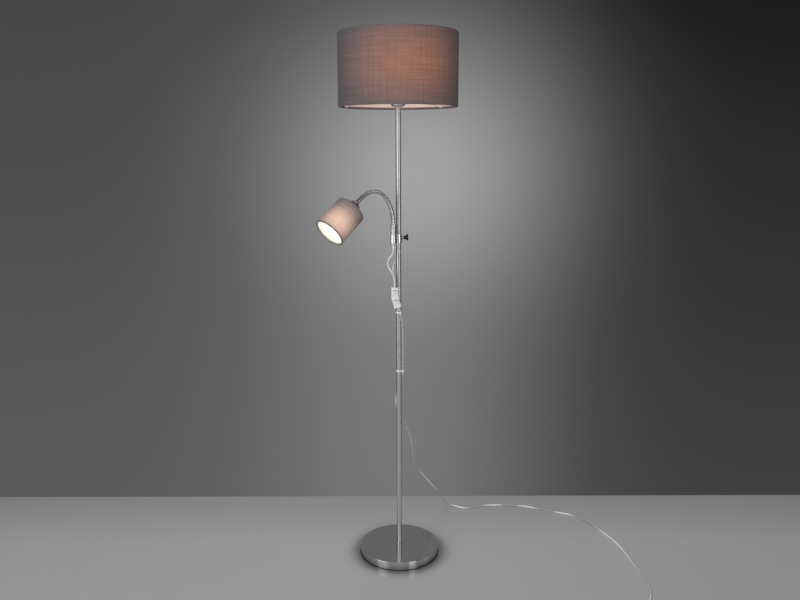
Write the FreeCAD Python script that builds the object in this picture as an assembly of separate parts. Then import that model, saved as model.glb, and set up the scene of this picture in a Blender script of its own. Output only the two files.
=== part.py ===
import FreeCAD, Part
import math
import os
from FreeCAD import Placement, Rotation, Vector

# Floor lamp: a round weighted foot, a steel pole, a drum shade on top and a small reading light on
# a gooseneck that is clamped to the pole. Millimetres, +Z up, the origin on the floor on the pole's
# axis. The front is -Y. The reading arm is drawn along -X in its own frame and then swivelled.

# Clearances
RUNNING = 0.05            # radial, a shaft turning or sliding in its hole
SEAT = 0.05               # radial, a fixed piece in its seat
SOFT = 0.3                # between pieces that only pass each other
OVERLAP = 1.0             # how far a cutting tool or a welded piece reaches into its neighbour

# Whole lamp
TOTAL_HEIGHT = 1600.0
POLE_DIA = 16.0
POLE_WALL = 1.2
OUTLET_TO_JOINT = 52.5    # the upper pole tube starts this much below the cable outlet
COUPLER_LENGTH = 30.0
COUPLER_BORE = 8.0
INSERT_LENGTH = 16.0
NIPPLE_DIA = 10.0
NIPPLE_BORE = 7.0

# Foot
BASE_DIA = 245.0
BASE_HEIGHT = 25.5
BASE_SHEET = 1.2
BASE_EDGE = 1.6           # rounding of the upper rim
BASE_LIFT = 1.6           # the cover's lower rim above the floor
PAD_INSET = 3.0
PAD_THICKNESS = 2.2
WEIGHT_THICKNESS = 14.0
WEIGHT_BOSS = 60.0
WEIGHT_POCKET = 32.0      # pocket under the weight for nut and washer
POCKET_DEPTH = 11.0
NUT_WIDTH = 17.0
NUT_HEIGHT = 5.0
WASHER_DIA = 26.0
WASHER_THICKNESS = 1.5
NIPPLE_SHOWN = 2.0        # thread that stands out under the nut
COLLAR_DIA = 20.0
COLLAR_HEIGHT = 4.0

# Cable outlet in the back of the pole
OUTLET_HEIGHT = 962.0
OUTLET_SLOPE = 45.0       # the lead leaves this much below the horizontal
GROMMET_WALL = 1.4
GROMMET_OUT = 3.0         # how far the grommet stands out of the pole
CORD_DIA = 5.5
CORD_LEAD = 11.0          # a cord runs this far straight out of what holds it

# Main lampholder, E27
MAIN_NUT = (22.0, 5.0)    # diameter and height of the ring nut under the cup
MAIN_CUP_DIA = 44.0
MAIN_CUP_FLOOR = 30.0
MAIN_CUP_HEIGHT = 34.0
MAIN_BELL = 9.0           # height of the cup's sloping part
MAIN_HOLDER_DIA = 39.0
MAIN_HOLDER_ABOVE = 24.0  # threaded part above the cup
MAIN_HOLDER_BORE = 28.4
MAIN_HOLDER_FLOOR = 24.0  # from the cup's floor to the bottom of the bulb's bore
MAIN_SHADE_NUT = (55.0, 8.0)
MAIN_BULB_DIA = 60.0
MAIN_BULB_LENGTH = 105.0
MAIN_BULB_CAP = (26.4, 26.0)

# Reading lampholder, E14
READING_NUT = (16.0, 5.0)
READING_CUP_DIA = 33.0
READING_CUP_FLOOR = 20.0
READING_CUP_HEIGHT = 24.0
READING_BELL = 5.0
READING_HOLDER_DIA = 28.0
READING_HOLDER_ABOVE = 21.0
READING_HOLDER_BORE = 18.4
READING_HOLDER_FLOOR = 18.0
READING_SHADE_NUT = (38.0, 7.0)
READING_BULB_DIA = 45.0
READING_BULB_LENGTH = 78.0
READING_BULB_CAP = (16.6, 20.0)

# Parts that both lampholders share
CUP_WALL = 1.0
SHELL_WALL = 0.5
CONTACT = (8.0, 2.0)      # diameter and height of the centre contact
GLASS_WALL = 0.9
FITTER_PLATE = 1.5        # thickness of the flat ring that the shade hangs by
SHADE_GAP = 0.25          # between a shade's cloth and the wire or liner inside it
FITTER_LAND = 10.0        # how far that ring stands out round the holder

# Main shade
SHADE_DIA = 350.0
SHADE_HEIGHT = 210.0
SHADE_WIRE = 3.5
SHADE_FABRIC = 0.8
SHADE_LINER = 0.5
SHADE_HEM = 6.0
SHADE_ARM_DIA = 3.5
SHADE_ARM_AZIMUTH = 39.0  # first of three arms

# Reading shade
READING_TOP_DIA = 90.0
READING_OPEN_DIA = 94.0
READING_HEIGHT = 100.0
READING_WIRE = 2.5
READING_FABRIC = 0.7
READING_LINER = 0.4
READING_HEM = 5.0
READING_ARM_DIA = 2.5
READING_ARM_AZIMUTH = 30.0

# Clamp
CLAMP_RISE = 43.5         # middle of the clamp above the cable outlet
CLAMP_LENGTH = 28.0
CLAMP_WALL = 1.2
LINER_WALL = 0.7
ARM_OFFSET = 20.6         # pole axis to arm barrel axis
ARM_BARREL_DIA = 17.0
ARM_SWIVEL = 40.3
WEB_THICKNESS = 9.0
WEB_RECESS = 1.5
BARREL_EDGE = 0.8         # bevel of the barrels' rims
BOSS_DIA = 11.0
BOSS_LENGTH = 4.5
SCREW_DIA = 5.0
SCREW_SHOWN = 6.0         # bare thread between the boss and the wing
WING_LENGTH = 17.0
WING_SPAN = 19.0
WING_THICKNESS = 3.2
WING_HUB = 9.0
FERRULE_DIA = 16.0
FERRULE_LENGTH = 29.0
FERRULE_EDGE = 0.7
STUD_LENGTH = 12.0
HOSE_SEAT = 10.0          # how deep the gooseneck sits in its ferrule
GLAND_STEM = (7.0, 10.0)
GLAND_RING = (11.0, 3.6)
GLAND_PLUG = 8.0
GLAND_BORE = 4.0

# Gooseneck
NECK_DIA = 12.0
NECK_BORE = 6.0
NECK_LINK = 34.3          # arc length of one link
NECK_TURNS = (15.0, 14.0, 29.0, 30.8, 32.6, 7.8)
RIB_PITCH = 2.6
RIB_DEPTH = 0.55
BALL_GAP = 0.3            # between a link's ball end and the next link's seat
LINK_GAP = 3.0            # from the joint's centre to the next link's rim

# Inline switch with two rockers
SWITCH_WIDTH = 22.4
SWITCH_DEPTH = 19.0
SWITCH_UPPER = 29.0       # length of the upper, upright half
SWITCH_LOWER = 32.0       # length of the lower, tilted half
SWITCH_BEND = 15.5        # tilt of the lower half
SWITCH_WALL = 1.8
SWITCH_ROUND = 4.0
SWITCH_SIDE = -11.5       # middle of the bend, beside the pole's axis
SWITCH_DROP = 133.0       # and below the cable outlet
SWITCH_GAP = 0.8          # from the pole to the back of the switch
ROCKER_WIDTH = 11.0
ROCKER_LENGTH = 17.0
ROCKER_PROUD = 2.6
ROCKER_REST = 8.0         # tilt of a rocker at rest, switched on
ROCKER_PIVOT = (5.0, 2.4, 1.6)            # hub diameter, pin diameter and pin length
ROCKER_WINDOW = 0.4       # gap round a rocker in its window
EAR_THICKNESS = 2.2
SCREW_SIZE = (2.8, 5.4, 1.8)              # shank diameter, head diameter and head height
SCREW_BOSS = 6.0
SCREW_PLACE = 5.0         # each screw's distance from the middle of the bend
CORD_SPACING = 3.8        # upper cords, in front of and behind the middle
CORD_EXIT = (4.0, 4.0)    # lower cord, to the right of and behind the middle
TERMINAL = (6.0, 5.0, 9.0)

# Cord clips on the pole
CLIP_HEIGHT = 5.0
CLIP_WALL = 1.2
CLIP_MOUTH = 8.0
CLIP_EYE_GAP = 0.2        # radial, between a clip's eye and the cord
CLIP_REACH = 0.6          # cord eye and pole ring are this much further apart than their walls ask for
CLIP_DROP = 183.0         # upper clip below the cable outlet
CLIP_SPACING = 184.0      # lower clip below the upper one
CLIP_AZIMUTHS = (-68.0, -18.0)            # of the clips' cord eyes
CLIP_RUNS = (5.0, 10.0)   # how far the cord runs straight above and below the middle of each clip

# Plug
PLUG_PLACE = Vector(577.0, -326.0, 0.0)
PLUG_BODY = (35.5, 26.0, 13.7)
PLUG_NOSE = 17.0
PLUG_TAIL = (22.0, 8.5)
PIN_DIA = 4.0
PIN_LENGTH = 19.0
PIN_SPACING = 18.6

# Routes of the cords, each point chosen by eye along the real run. Heights of the first two are
# from the cable outlet. The supply cord's fall from clip to floor was drawn for FALL_HEIGHT.
READING_ROUTE = [
    Vector(-19.4, -14.6, -5.5), Vector(-28.6, -17.0, -15.5), Vector(-34.4, -19.0, -28.5),
    Vector(-30.0, -20.6, -42.5), Vector(-20.0, -21.8, -56.0), Vector(-13.6, -22.1, -73.0)]
LAMP_ROUTE = [
    Vector(-4.5, 21.0, -22.5), Vector(-13.0, 17.0, -32.5), Vector(-16.4, 6.5, -43.5),
    Vector(-16.6, -4.5, -57.0), Vector(-14.4, -12.0, -74.0)]
BETWEEN_CLIPS = [
    Vector(7.6, -10.8, -17.0), Vector(11.2, -7.2, -35.0), Vector(12.6, -3.2, -61.0),
    Vector(12.4, -3.0, -97.0), Vector(12.6, -3.8, -139.0)]
FALL_HEIGHT = 595.0       # of the lower clip
SUPPLY_FALL = [
    Vector(11.4, 5.4, 564.0), Vector(3.4, 12.8, 545.0), Vector(-5.6, 12.0, 523.0),
    Vector(-9.0, 8.8, 499.0), Vector(-7.2, 11.0, 473.0), Vector(2.4, 13.6, 449.0),
    Vector(15.0, 13.4, 422.0), Vector(29.5, 15.4, 392.0), Vector(39.6, 18.4, 359.0),
    Vector(43.0, 23.0, 326.0), Vector(43.6, 31.0, 299.0), Vector(54.0, 52.0, 264.0),
    Vector(74.0, 95.0, 218.0), Vector(98.0, 150.0, 168.0), Vector(123.0, 206.0, 116.0),
    Vector(143.0, 251.0, 70.0), Vector(155.0, 278.0, 38.0)]
SUPPLY_FLOOR = [
    Vector(167.0, 299.0, 16.0), Vector(185.0, 306.0, 5.0), Vector(208.0, 297.0, 2.8), Vector(229.0, 283.0, 2.8),
    Vector(256.0, 285.0, 2.8), Vector(290.0, 302.0, 2.8), Vector(324.0, 308.0, 2.8),
    Vector(362.0, 307.0, 2.8), Vector(408.0, 303.0, 2.8), Vector(459.0, 297.0, 2.8),
    Vector(502.0, 270.0, 2.8), Vector(545.0, 253.0, 2.8), Vector(590.0, 237.0, 2.8),
    Vector(626.0, 206.0, 2.8), Vector(654.0, 163.0, 2.8), Vector(676.0, 112.0, 2.8),
    Vector(702.0, 48.0, 2.8), Vector(716.0, -26.0, 2.8), Vector(722.0, -106.0, 2.8),
    Vector(734.0, -184.0, 2.8), Vector(728.0, -252.0, 2.8), Vector(703.0, -304.0, 2.8),
    Vector(662.0, -325.0, 4.4), Vector(634.0, -326.0, 6.4)]

# Sizes and places that follow from the ones above
POLE_R = POLE_DIA / 2
POLE_BORE = POLE_DIA - 2 * POLE_WALL
CORD_R = CORD_DIA / 2
COLLAR_TOP = BASE_HEIGHT + COLLAR_HEIGHT
SHADE_BOTTOM = TOTAL_HEIGHT - SHADE_HEIGHT
NUT_LIFT = 3.5            # the pole ends this much below the shade's lower edge
POLE_TOP = SHADE_BOTTOM - NUT_LIFT
UPPER_JOINT = OUTLET_HEIGHT - OUTLET_TO_JOINT
JOINT_HEIGHTS = ((COLLAR_TOP + UPPER_JOINT) / 2, UPPER_JOINT)
LINER_DIA = POLE_DIA + 2 * RUNNING + 2 * LINER_WALL
CLAMP_BORE = LINER_DIA + 2 * RUNNING
POLE_BARREL_DIA = CLAMP_BORE + 2 * CLAMP_WALL
HALF_CLAMP = CLAMP_LENGTH / 2
CLAMP_HEIGHT = OUTLET_HEIGHT + CLAMP_RISE
CLAMP_FRAME = Placement(Vector(0, 0, CLAMP_HEIGHT), Rotation(Vector(0, 0, 1), ARM_SWIVEL))
NECK_START = Vector(-ARM_OFFSET, 0, HALF_CLAMP + FERRULE_LENGTH)
SWITCH_Y = -(POLE_R + SWITCH_GAP + SWITCH_DEPTH / 2)
SWITCH_MIDDLE = Vector(SWITCH_SIDE, SWITCH_Y, OUTLET_HEIGHT - SWITCH_DROP)
SWITCH_FRAME = Placement(SWITCH_MIDDLE, Rotation())
LOWER_HALF = SWITCH_FRAME.multiply(Placement(Vector(), Rotation(Vector(0, 1, 0), -SWITCH_BEND)))

UPPER_CLIP = OUTLET_HEIGHT - CLIP_DROP
LOWER_CLIP = UPPER_CLIP - CLIP_SPACING

nodes = {}


def tube(outer, bore, bottom, top):
    """Upright tube on the Z axis. A bore of 0 makes a rod."""
    body = Part.makeCylinder(outer / 2, top - bottom, Vector(0, 0, bottom))
    if bore:
        tool = Part.makeCylinder(bore / 2, top - bottom + 2 * OVERLAP, Vector(0, 0, bottom - OVERLAP))
        body = body.cut(tool)
    return body


def turned(outline):
    """Solid of revolution about Z from a closed outline of (radius, height) corners."""
    corners = [Vector(radius, 0, height) for radius, height in outline]
    wire = Part.makePolygon(corners + corners[:1])
    return Part.Face(wire).revolve(Vector(), Vector(0, 0, 1), 360)


def bevelled(diameter, bottom, top, edge):
    """Upright rod whose two rims are bevelled by edge."""
    radius = diameter / 2
    return turned([(0, bottom), (radius - edge, bottom), (radius, bottom + edge),
                   (radius, top - edge), (radius - edge, top), (0, top)])


def rod(start, end, diameter):
    """Round rod from start to end."""
    axis = end - start
    return Part.makeCylinder(diameter / 2, axis.Length, start, axis)


def block(width, depth, height, centre):
    """Box with its edges along the axes, round its centre."""
    corner = centre - Vector(width / 2, depth / 2, height / 2)
    return Part.makeBox(width, depth, height, corner)


def rounded_block(width, depth, height, radius, centre):
    """Box whose upright edges are rounded."""
    body = block(width, depth, height, centre)
    upright = [e for e in body.Edges if abs(e.tangentAt(e.FirstParameter).z) > 0.9]
    return body.makeFillet(radius, upright)


def placed(shape, *placements):
    """Copy of the shape, moved by the placements from the last to the first."""
    moved = shape.copy()
    for placement in reversed(placements):
        moved.transformShape(placement.toMatrix(), True)
    return moved


def add(name, shape, *placements):
    """Keeps a finished piece under its node name, moved to its place in the lamp."""
    nodes[name] = placed(shape, *placements)


def outline_solid(pieces):
    """Solid of revolution about Z from lines and arcs. Each item is the next corner (r, z), or a pair
    of corners ((r, z), (r, z)): the middle and the end of an arc."""
    def at(corner):
        return Vector(corner[0], 0, corner[1])
    here = first = at(pieces[0])
    edges = []
    for item in pieces[1:]:
        if isinstance(item[0], tuple):
            end = at(item[1])
            edges.append(Part.Arc(here, at(item[0]), end).toShape())
        else:
            end = at(item)
            edges.append(Part.LineSegment(here, end).toShape())
        here = end
    if (here - first).Length > SEAT:
        edges.append(Part.LineSegment(here, first).toShape())
    return Part.Face(Part.Wire(edges)).revolve(Vector(), Vector(0, 0, 1), 360)


def cord_tube(name, points, diameter):
    """Round cord along straight runs that tangent arcs join, each arc as large as its runs allow."""
    edges = []
    radii = []
    start = points[0]
    for before, here, after in zip(points, points[1:], points[2:]):
        back = before - here
        ahead = after - here
        reach = 0.45 * min(back.Length, ahead.Length)
        back.normalize()
        ahead.normalize()
        half_turn = (math.pi - back.getAngle(ahead)) / 2
        radius = reach / math.tan(half_turn)
        radii.append(radius)
        inward = (back + ahead).normalize()
        middle = here + inward * (radius / math.cos(half_turn) - radius)
        edges.append(Part.LineSegment(start, here + back * reach).toShape())
        edges.append(Part.Arc(here + back * reach, middle, here + ahead * reach).toShape())
        start = here + ahead * reach
    edges.append(Part.LineSegment(start, points[-1]).toShape())
    path = Part.Wire(edges)
    ring = Part.Wire(Part.Circle(points[0], points[1] - points[0], diameter / 2).toShape())
    solid = path.makePipeShell([ring], True, False)
    expected = path.Length * math.pi * diameter ** 2 / 4
    print(f"{name}: length {path.Length:.0f}, volume {solid.Volume / expected:.4f} of section x length,",
          f"smallest radius {min(radii):.1f} = {min(radii) / diameter:.1f} diameters,",
          "radii", " ".join(f"{r:.0f}" for r in radii))
    return solid


# Foot

def build_foot():
    """Pad, cast weight, pressed cover and the threaded nipple that draws them to the pole."""
    rim = BASE_DIA / 2
    inner = rim - BASE_SHEET
    ceiling = BASE_HEIGHT - BASE_SHEET
    hole = NIPPLE_DIA / 2 + SEAT
    slope = BASE_EDGE * math.sqrt(0.5)
    add("base_cover", outline_solid([
        (hole, BASE_HEIGHT), (rim - BASE_EDGE, BASE_HEIGHT),
        ((rim - BASE_EDGE + slope, BASE_HEIGHT - BASE_EDGE + slope), (rim, BASE_HEIGHT - BASE_EDGE)),
        (rim, BASE_LIFT), (inner, BASE_LIFT), (inner, ceiling), (hole, ceiling)]))

    weight_top = PAD_THICKNESS + WEIGHT_THICKNESS
    pocket_top = PAD_THICKNESS + POCKET_DEPTH
    weight = tube(2 * (inner - SOFT), 0, PAD_THICKNESS, weight_top)
    weight = weight.fuse(tube(WEIGHT_BOSS, 0, weight_top - OVERLAP, ceiling))
    weight = weight.cut(tube(WEIGHT_POCKET, 0, PAD_THICKNESS - OVERLAP, pocket_top))
    add("base_weight", weight.cut(tube(2 * hole, 0, 0, BASE_HEIGHT)))

    add("base_pad", tube(BASE_DIA - 2 * PAD_INSET, 0, 0, PAD_THICKNESS))

    nut_top = pocket_top - WASHER_THICKNESS
    nut_bottom = nut_top - NUT_HEIGHT
    corner = NUT_WIDTH / math.sqrt(3)
    hexagon = [Vector(corner * math.cos(k * math.pi / 3), corner * math.sin(k * math.pi / 3), nut_bottom)
               for k in range(7)]
    nut = Part.Face(Part.makePolygon(hexagon)).extrude(Vector(0, 0, NUT_HEIGHT))
    nut = nut.cut(tube(2 * hole, 0, nut_bottom - OVERLAP, pocket_top))
    washer = tube(WASHER_DIA, 2 * hole, nut_top, pocket_top)
    add("base_nut_and_washer", Part.makeCompound([nut, washer]))

    insert_top = COLLAR_TOP + INSERT_LENGTH
    add("foot_nipple", tube(NIPPLE_DIA, NIPPLE_BORE, nut_bottom - NIPPLE_SHOWN, insert_top))
    add("foot_collar", bevelled(COLLAR_DIA, BASE_HEIGHT, COLLAR_TOP, BARREL_EDGE).cut(
        tube(2 * hole, 0, 0, insert_top)))


# Pole

def outlet_axis():
    """Point on the pole's axis and direction of the sloping cable outlet."""
    slope = math.radians(OUTLET_SLOPE)
    direction = Vector(0, math.cos(slope), -math.sin(slope))
    bend = Vector(0, 0, OUTLET_HEIGHT + POLE_R * math.tan(slope))
    return bend, direction


def outlet_end():
    """Centre of the grommet's outer face."""
    bend, direction = outlet_axis()
    return bend + direction * (POLE_R / math.cos(math.radians(OUTLET_SLOPE)) + GROMMET_OUT)


def build_pole():
    """Three tubes, what joins them, and the main lamp's lead from the outlet up to the holder."""
    bore = NIPPLE_DIA + 2 * SEAT
    plug = POLE_BORE - 2 * SEAT
    first, second = JOINT_HEIGHTS
    add("pole_foot_insert", tube(plug, bore, COLLAR_TOP, COLLAR_TOP + INSERT_LENGTH))
    add("pole_lower", tube(POLE_DIA, POLE_BORE, COLLAR_TOP, first))
    add("pole_middle", tube(POLE_DIA, POLE_BORE, first, second))
    half = COUPLER_LENGTH / 2
    add("pole_couplers", Part.makeCompound(
        [tube(plug, COUPLER_BORE, height - half, height + half) for height in JOINT_HEIGHTS]))

    bend, direction = outlet_axis()
    end = outlet_end()
    grommet_dia = CORD_DIA + 2 * RUNNING + 2 * GROMMET_WALL
    inside = bend + direction * ((POLE_BORE / 2 - CORD_R) / direction.y)
    hole = rod(inside, end + direction * OVERLAP, grommet_dia + 2 * SEAT)
    add("pole_upper", tube(POLE_DIA, POLE_BORE, second, POLE_TOP).cut(hole))
    grommet = rod(inside, end, grommet_dia).cut(tube(POLE_BORE, 0, OUTLET_HEIGHT - POLE_DIA, POLE_TOP))
    add("outlet_grommet", grommet.cut(rod(bend, end + direction * OVERLAP, CORD_DIA + 2 * RUNNING)))

    nipple_bottom = POLE_TOP - INSERT_LENGTH
    add("pole_top_insert", tube(plug, bore, nipple_bottom, POLE_TOP))
    nipple_top = POLE_TOP + MAIN_NUT[1] + CUP_WALL + MAIN_HOLDER_FLOOR / 2
    add("top_nipple", tube(NIPPLE_DIA, NIPPLE_BORE, nipple_bottom, nipple_top))
    turn = math.radians(90 - OUTLET_SLOPE)
    reach = POLE_R
    lead_start = end - direction * GROMMET_OUT
    middle_dir = (Vector(0, 0, 1) - direction).normalize()
    radius = reach / math.tan(turn / 2)
    arc_start = bend + direction * reach
    arc_end = bend + Vector(0, 0, reach)
    arc_middle = bend + middle_dir * (radius / math.cos(turn / 2) - radius)
    lead_top = nipple_top
    path = Part.Wire([Part.LineSegment(lead_start, arc_start).toShape(),
                      Part.Arc(arc_start, arc_middle, arc_end).toShape(),
                      Part.LineSegment(arc_end, Vector(0, 0, lead_top)).toShape()])
    ring = Part.Wire(Part.Circle(lead_start, arc_start - lead_start, CORD_R).toShape())
    add("lamp_lead", path.makePipeShell([ring], True, False))


# Lampholders: built upright, z = 0 where the ring nut meets what carries it, bulb upwards

def lampholder(prefix, frame, nut, cup_dia, floor_dia, cup_height, bell, holder_dia, above, bore, depth,
               shade_nut, bulb_dia, bulb_length, cap, carrier_bore):
    """Ring nut, cup, holder, contacts, shade nut and bulb. Returns the height of the cup's rim."""
    floor = nut[1]
    rim = floor + cup_height
    add(prefix + "_ring_nut", bevelled(nut[0], 0, floor, BARREL_EDGE).cut(
        tube(carrier_bore, 0, -OVERLAP, floor + OVERLAP)), frame)

    wall = CUP_WALL
    floor_r = floor_dia / 2
    cup_r = cup_dia / 2
    hole = carrier_bore / 2
    bulge = ((floor_r + 2 * cup_r) / 3, floor + bell / 3)
    inner_bulge = (bulge[0] - wall, bulge[1] + wall / 2)
    add(prefix + "_cup", outline_solid([
        (hole, floor), (floor_r, floor), (bulge, (cup_r, floor + bell)), (cup_r, rim),
        (cup_r - wall, rim), (cup_r - wall, floor + bell),
        (inner_bulge, (floor_r - wall, floor + wall)), (hole, floor + wall)]), frame)

    seat = floor + wall
    well = seat + depth
    holder_r = holder_dia / 2
    holder_top = rim + above
    bottom_r = min(holder_r, floor_r - wall - SOFT)
    flare = floor + bell + wall
    add(prefix + "_holder", turned([
        (hole, seat), (bottom_r, seat), (holder_r, flare), (holder_r, holder_top),
        (bore / 2, holder_top), (bore / 2, well), (hole, well)]), frame)

    shell_outer = bore - 2 * SEAT
    contact_bottom = well
    contact_top = well + CONTACT[1]
    cap_bottom = contact_top
    shell = tube(shell_outer, shell_outer - 2 * SHELL_WALL, cap_bottom + CONTACT[1], holder_top - CONTACT[1])
    strip = block(bore - 2 * SEAT - 2 * SHELL_WALL, CONTACT[0] / 2, CONTACT[1] / 2,
                  Vector(0, 0, contact_bottom + CONTACT[1] / 4))
    button = tube(CONTACT[0], 0, contact_bottom + CONTACT[1] / 4, contact_top)
    add(prefix + "_holder_contacts", Part.makeCompound([shell, strip.fuse(button)]), frame)

    plate_top = rim + FITTER_PLATE
    add(prefix + "_shade_nut", bevelled(shade_nut[0], plate_top, plate_top + shade_nut[1], BARREL_EDGE).cut(
        tube(holder_dia + 2 * SEAT, 0, rim, holder_top)), frame)

    cap_top = cap_bottom + cap[1]
    ball_centre = cap_bottom + bulb_length - bulb_dia / 2
    tip = CONTACT[0] / 2
    add(prefix + "_bulb_cap", turned([
        (0, cap_bottom), (tip, cap_bottom), (tip, cap_bottom + CONTACT[1]),
        (cap[0] / 2, cap_bottom + CONTACT[0] / 2 + CONTACT[1]), (cap[0] / 2, cap_top), (0, cap_top)]), frame)
    neck = cap[0] / 2 - GLASS_WALL
    ball = bulb_dia / 2
    shoulder = holder_top + GLASS_WALL
    belly = ball_centre - 0.34 * ball

    def bulb(inset):
        radius = ball - inset
        widest = Part.makeCone(neck - inset, 0.94 * radius, belly - shoulder, Vector(0, 0, shoulder))
        stem = Part.makeCylinder(neck - inset, shoulder - cap_top - inset, Vector(0, 0, cap_top + inset))
        return Part.makeSphere(radius, Vector(0, 0, ball_centre)).fuse(widest).fuse(stem)

    add(prefix + "_bulb_glass", bulb(0).cut(bulb(GLASS_WALL)), frame)
    return rim


# Shades: built upright, z = 0 at the lower edge

def drum(prefix, frame, lower_dia, upper_dia, height, wire, fabric, liner, hem, arm_dia, azimuth,
         hub_dia, hub_height, fitter_low):
    """Fabric with its hems folded round two wire rings, the liner, the fitter and the other ring."""
    fold = fabric + wire / 2 + SHADE_GAP

    def outer_r(z):
        return (lower_dia + (upper_dia - lower_dia) * z / height) / 2

    low, high = fold, height - fold
    low_r, high_r = outer_r(low), outer_r(high)
    low_c, high_c = low_r - fold, high_r - fold
    bend = fold * math.sqrt(0.5)
    thin = fold - fabric
    inner_bend = thin * math.sqrt(0.5)
    cloth = outline_solid([
        (low_r, low), (high_r, high),
        ((high_c, high + fold), (high_c - fold, high)),
        (high_c - fold, high - hem), (high_c - thin, high - hem), (high_c - thin, high),
        ((high_c, high + thin), (high_c + thin, high)),
        (low_c + thin, low),
        ((low_c, low - thin), (low_c - thin, low)),
        (low_c - thin, low + hem), (low_c - fold, low + hem), (low_c - fold, low),
        ((low_c - bend, low - bend), (low_c, low - fold)),
        ((low_c + bend, low - bend), (low_r, low))])
    liner_low, liner_high = low + wire, high - wire
    liner_inset = fabric + SHADE_GAP
    sheet = turned([
        (outer_r(liner_low) - liner_inset, liner_low), (outer_r(liner_high) - liner_inset, liner_high),
        (outer_r(liner_high) - liner_inset - liner, liner_high),
        (outer_r(liner_low) - liner_inset - liner, liner_low)])
    add(prefix + "_shade_liner", sheet, frame)

    fit_z, fit_c = (low, low_c) if fitter_low else (high, high_c)
    free_z, free_c = (high, high_c) if fitter_low else (low, low_c)
    plate_r = hub_dia / 2 + FITTER_LAND
    plate_mid = hub_height + FITTER_PLATE / 2
    fitter = Part.makeTorus(fit_c, wire / 2, Vector(0, 0, fit_z)).fuse(
        tube(2 * plate_r, hub_dia + 2 * SEAT, hub_height, hub_height + FITTER_PLATE))
    hem_side = hem + wire
    for k in range(3):
        angle = math.radians(azimuth + 120 * k)
        outward = Vector(math.cos(angle), math.sin(angle), 0)
        root = outward * (plate_r - OVERLAP) + Vector(0, 0, plate_mid)
        tip = outward * fit_c + Vector(0, 0, fit_z)
        fitter = fitter.fuse(rod(root, tip, arm_dia))
        notch = block(hem_side, arm_dia + 2 * SOFT, 2 * hem_side, Vector(fit_c - hem_side / 2, 0, fit_z))
        notch = placed(notch, Placement(Vector(), Rotation(Vector(0, 0, 1), azimuth + 120 * k)))
        cloth = cloth.cut(notch)
    add(prefix + "_shade_fitter", fitter, frame)
    add(prefix + "_shade_ring", Part.makeTorus(free_c, wire / 2, Vector(0, 0, free_z)), frame)
    add(prefix + "_shade_fabric", cloth, frame)


# Clamp on the pole, drawn in its own frame with the arm along -X

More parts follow.
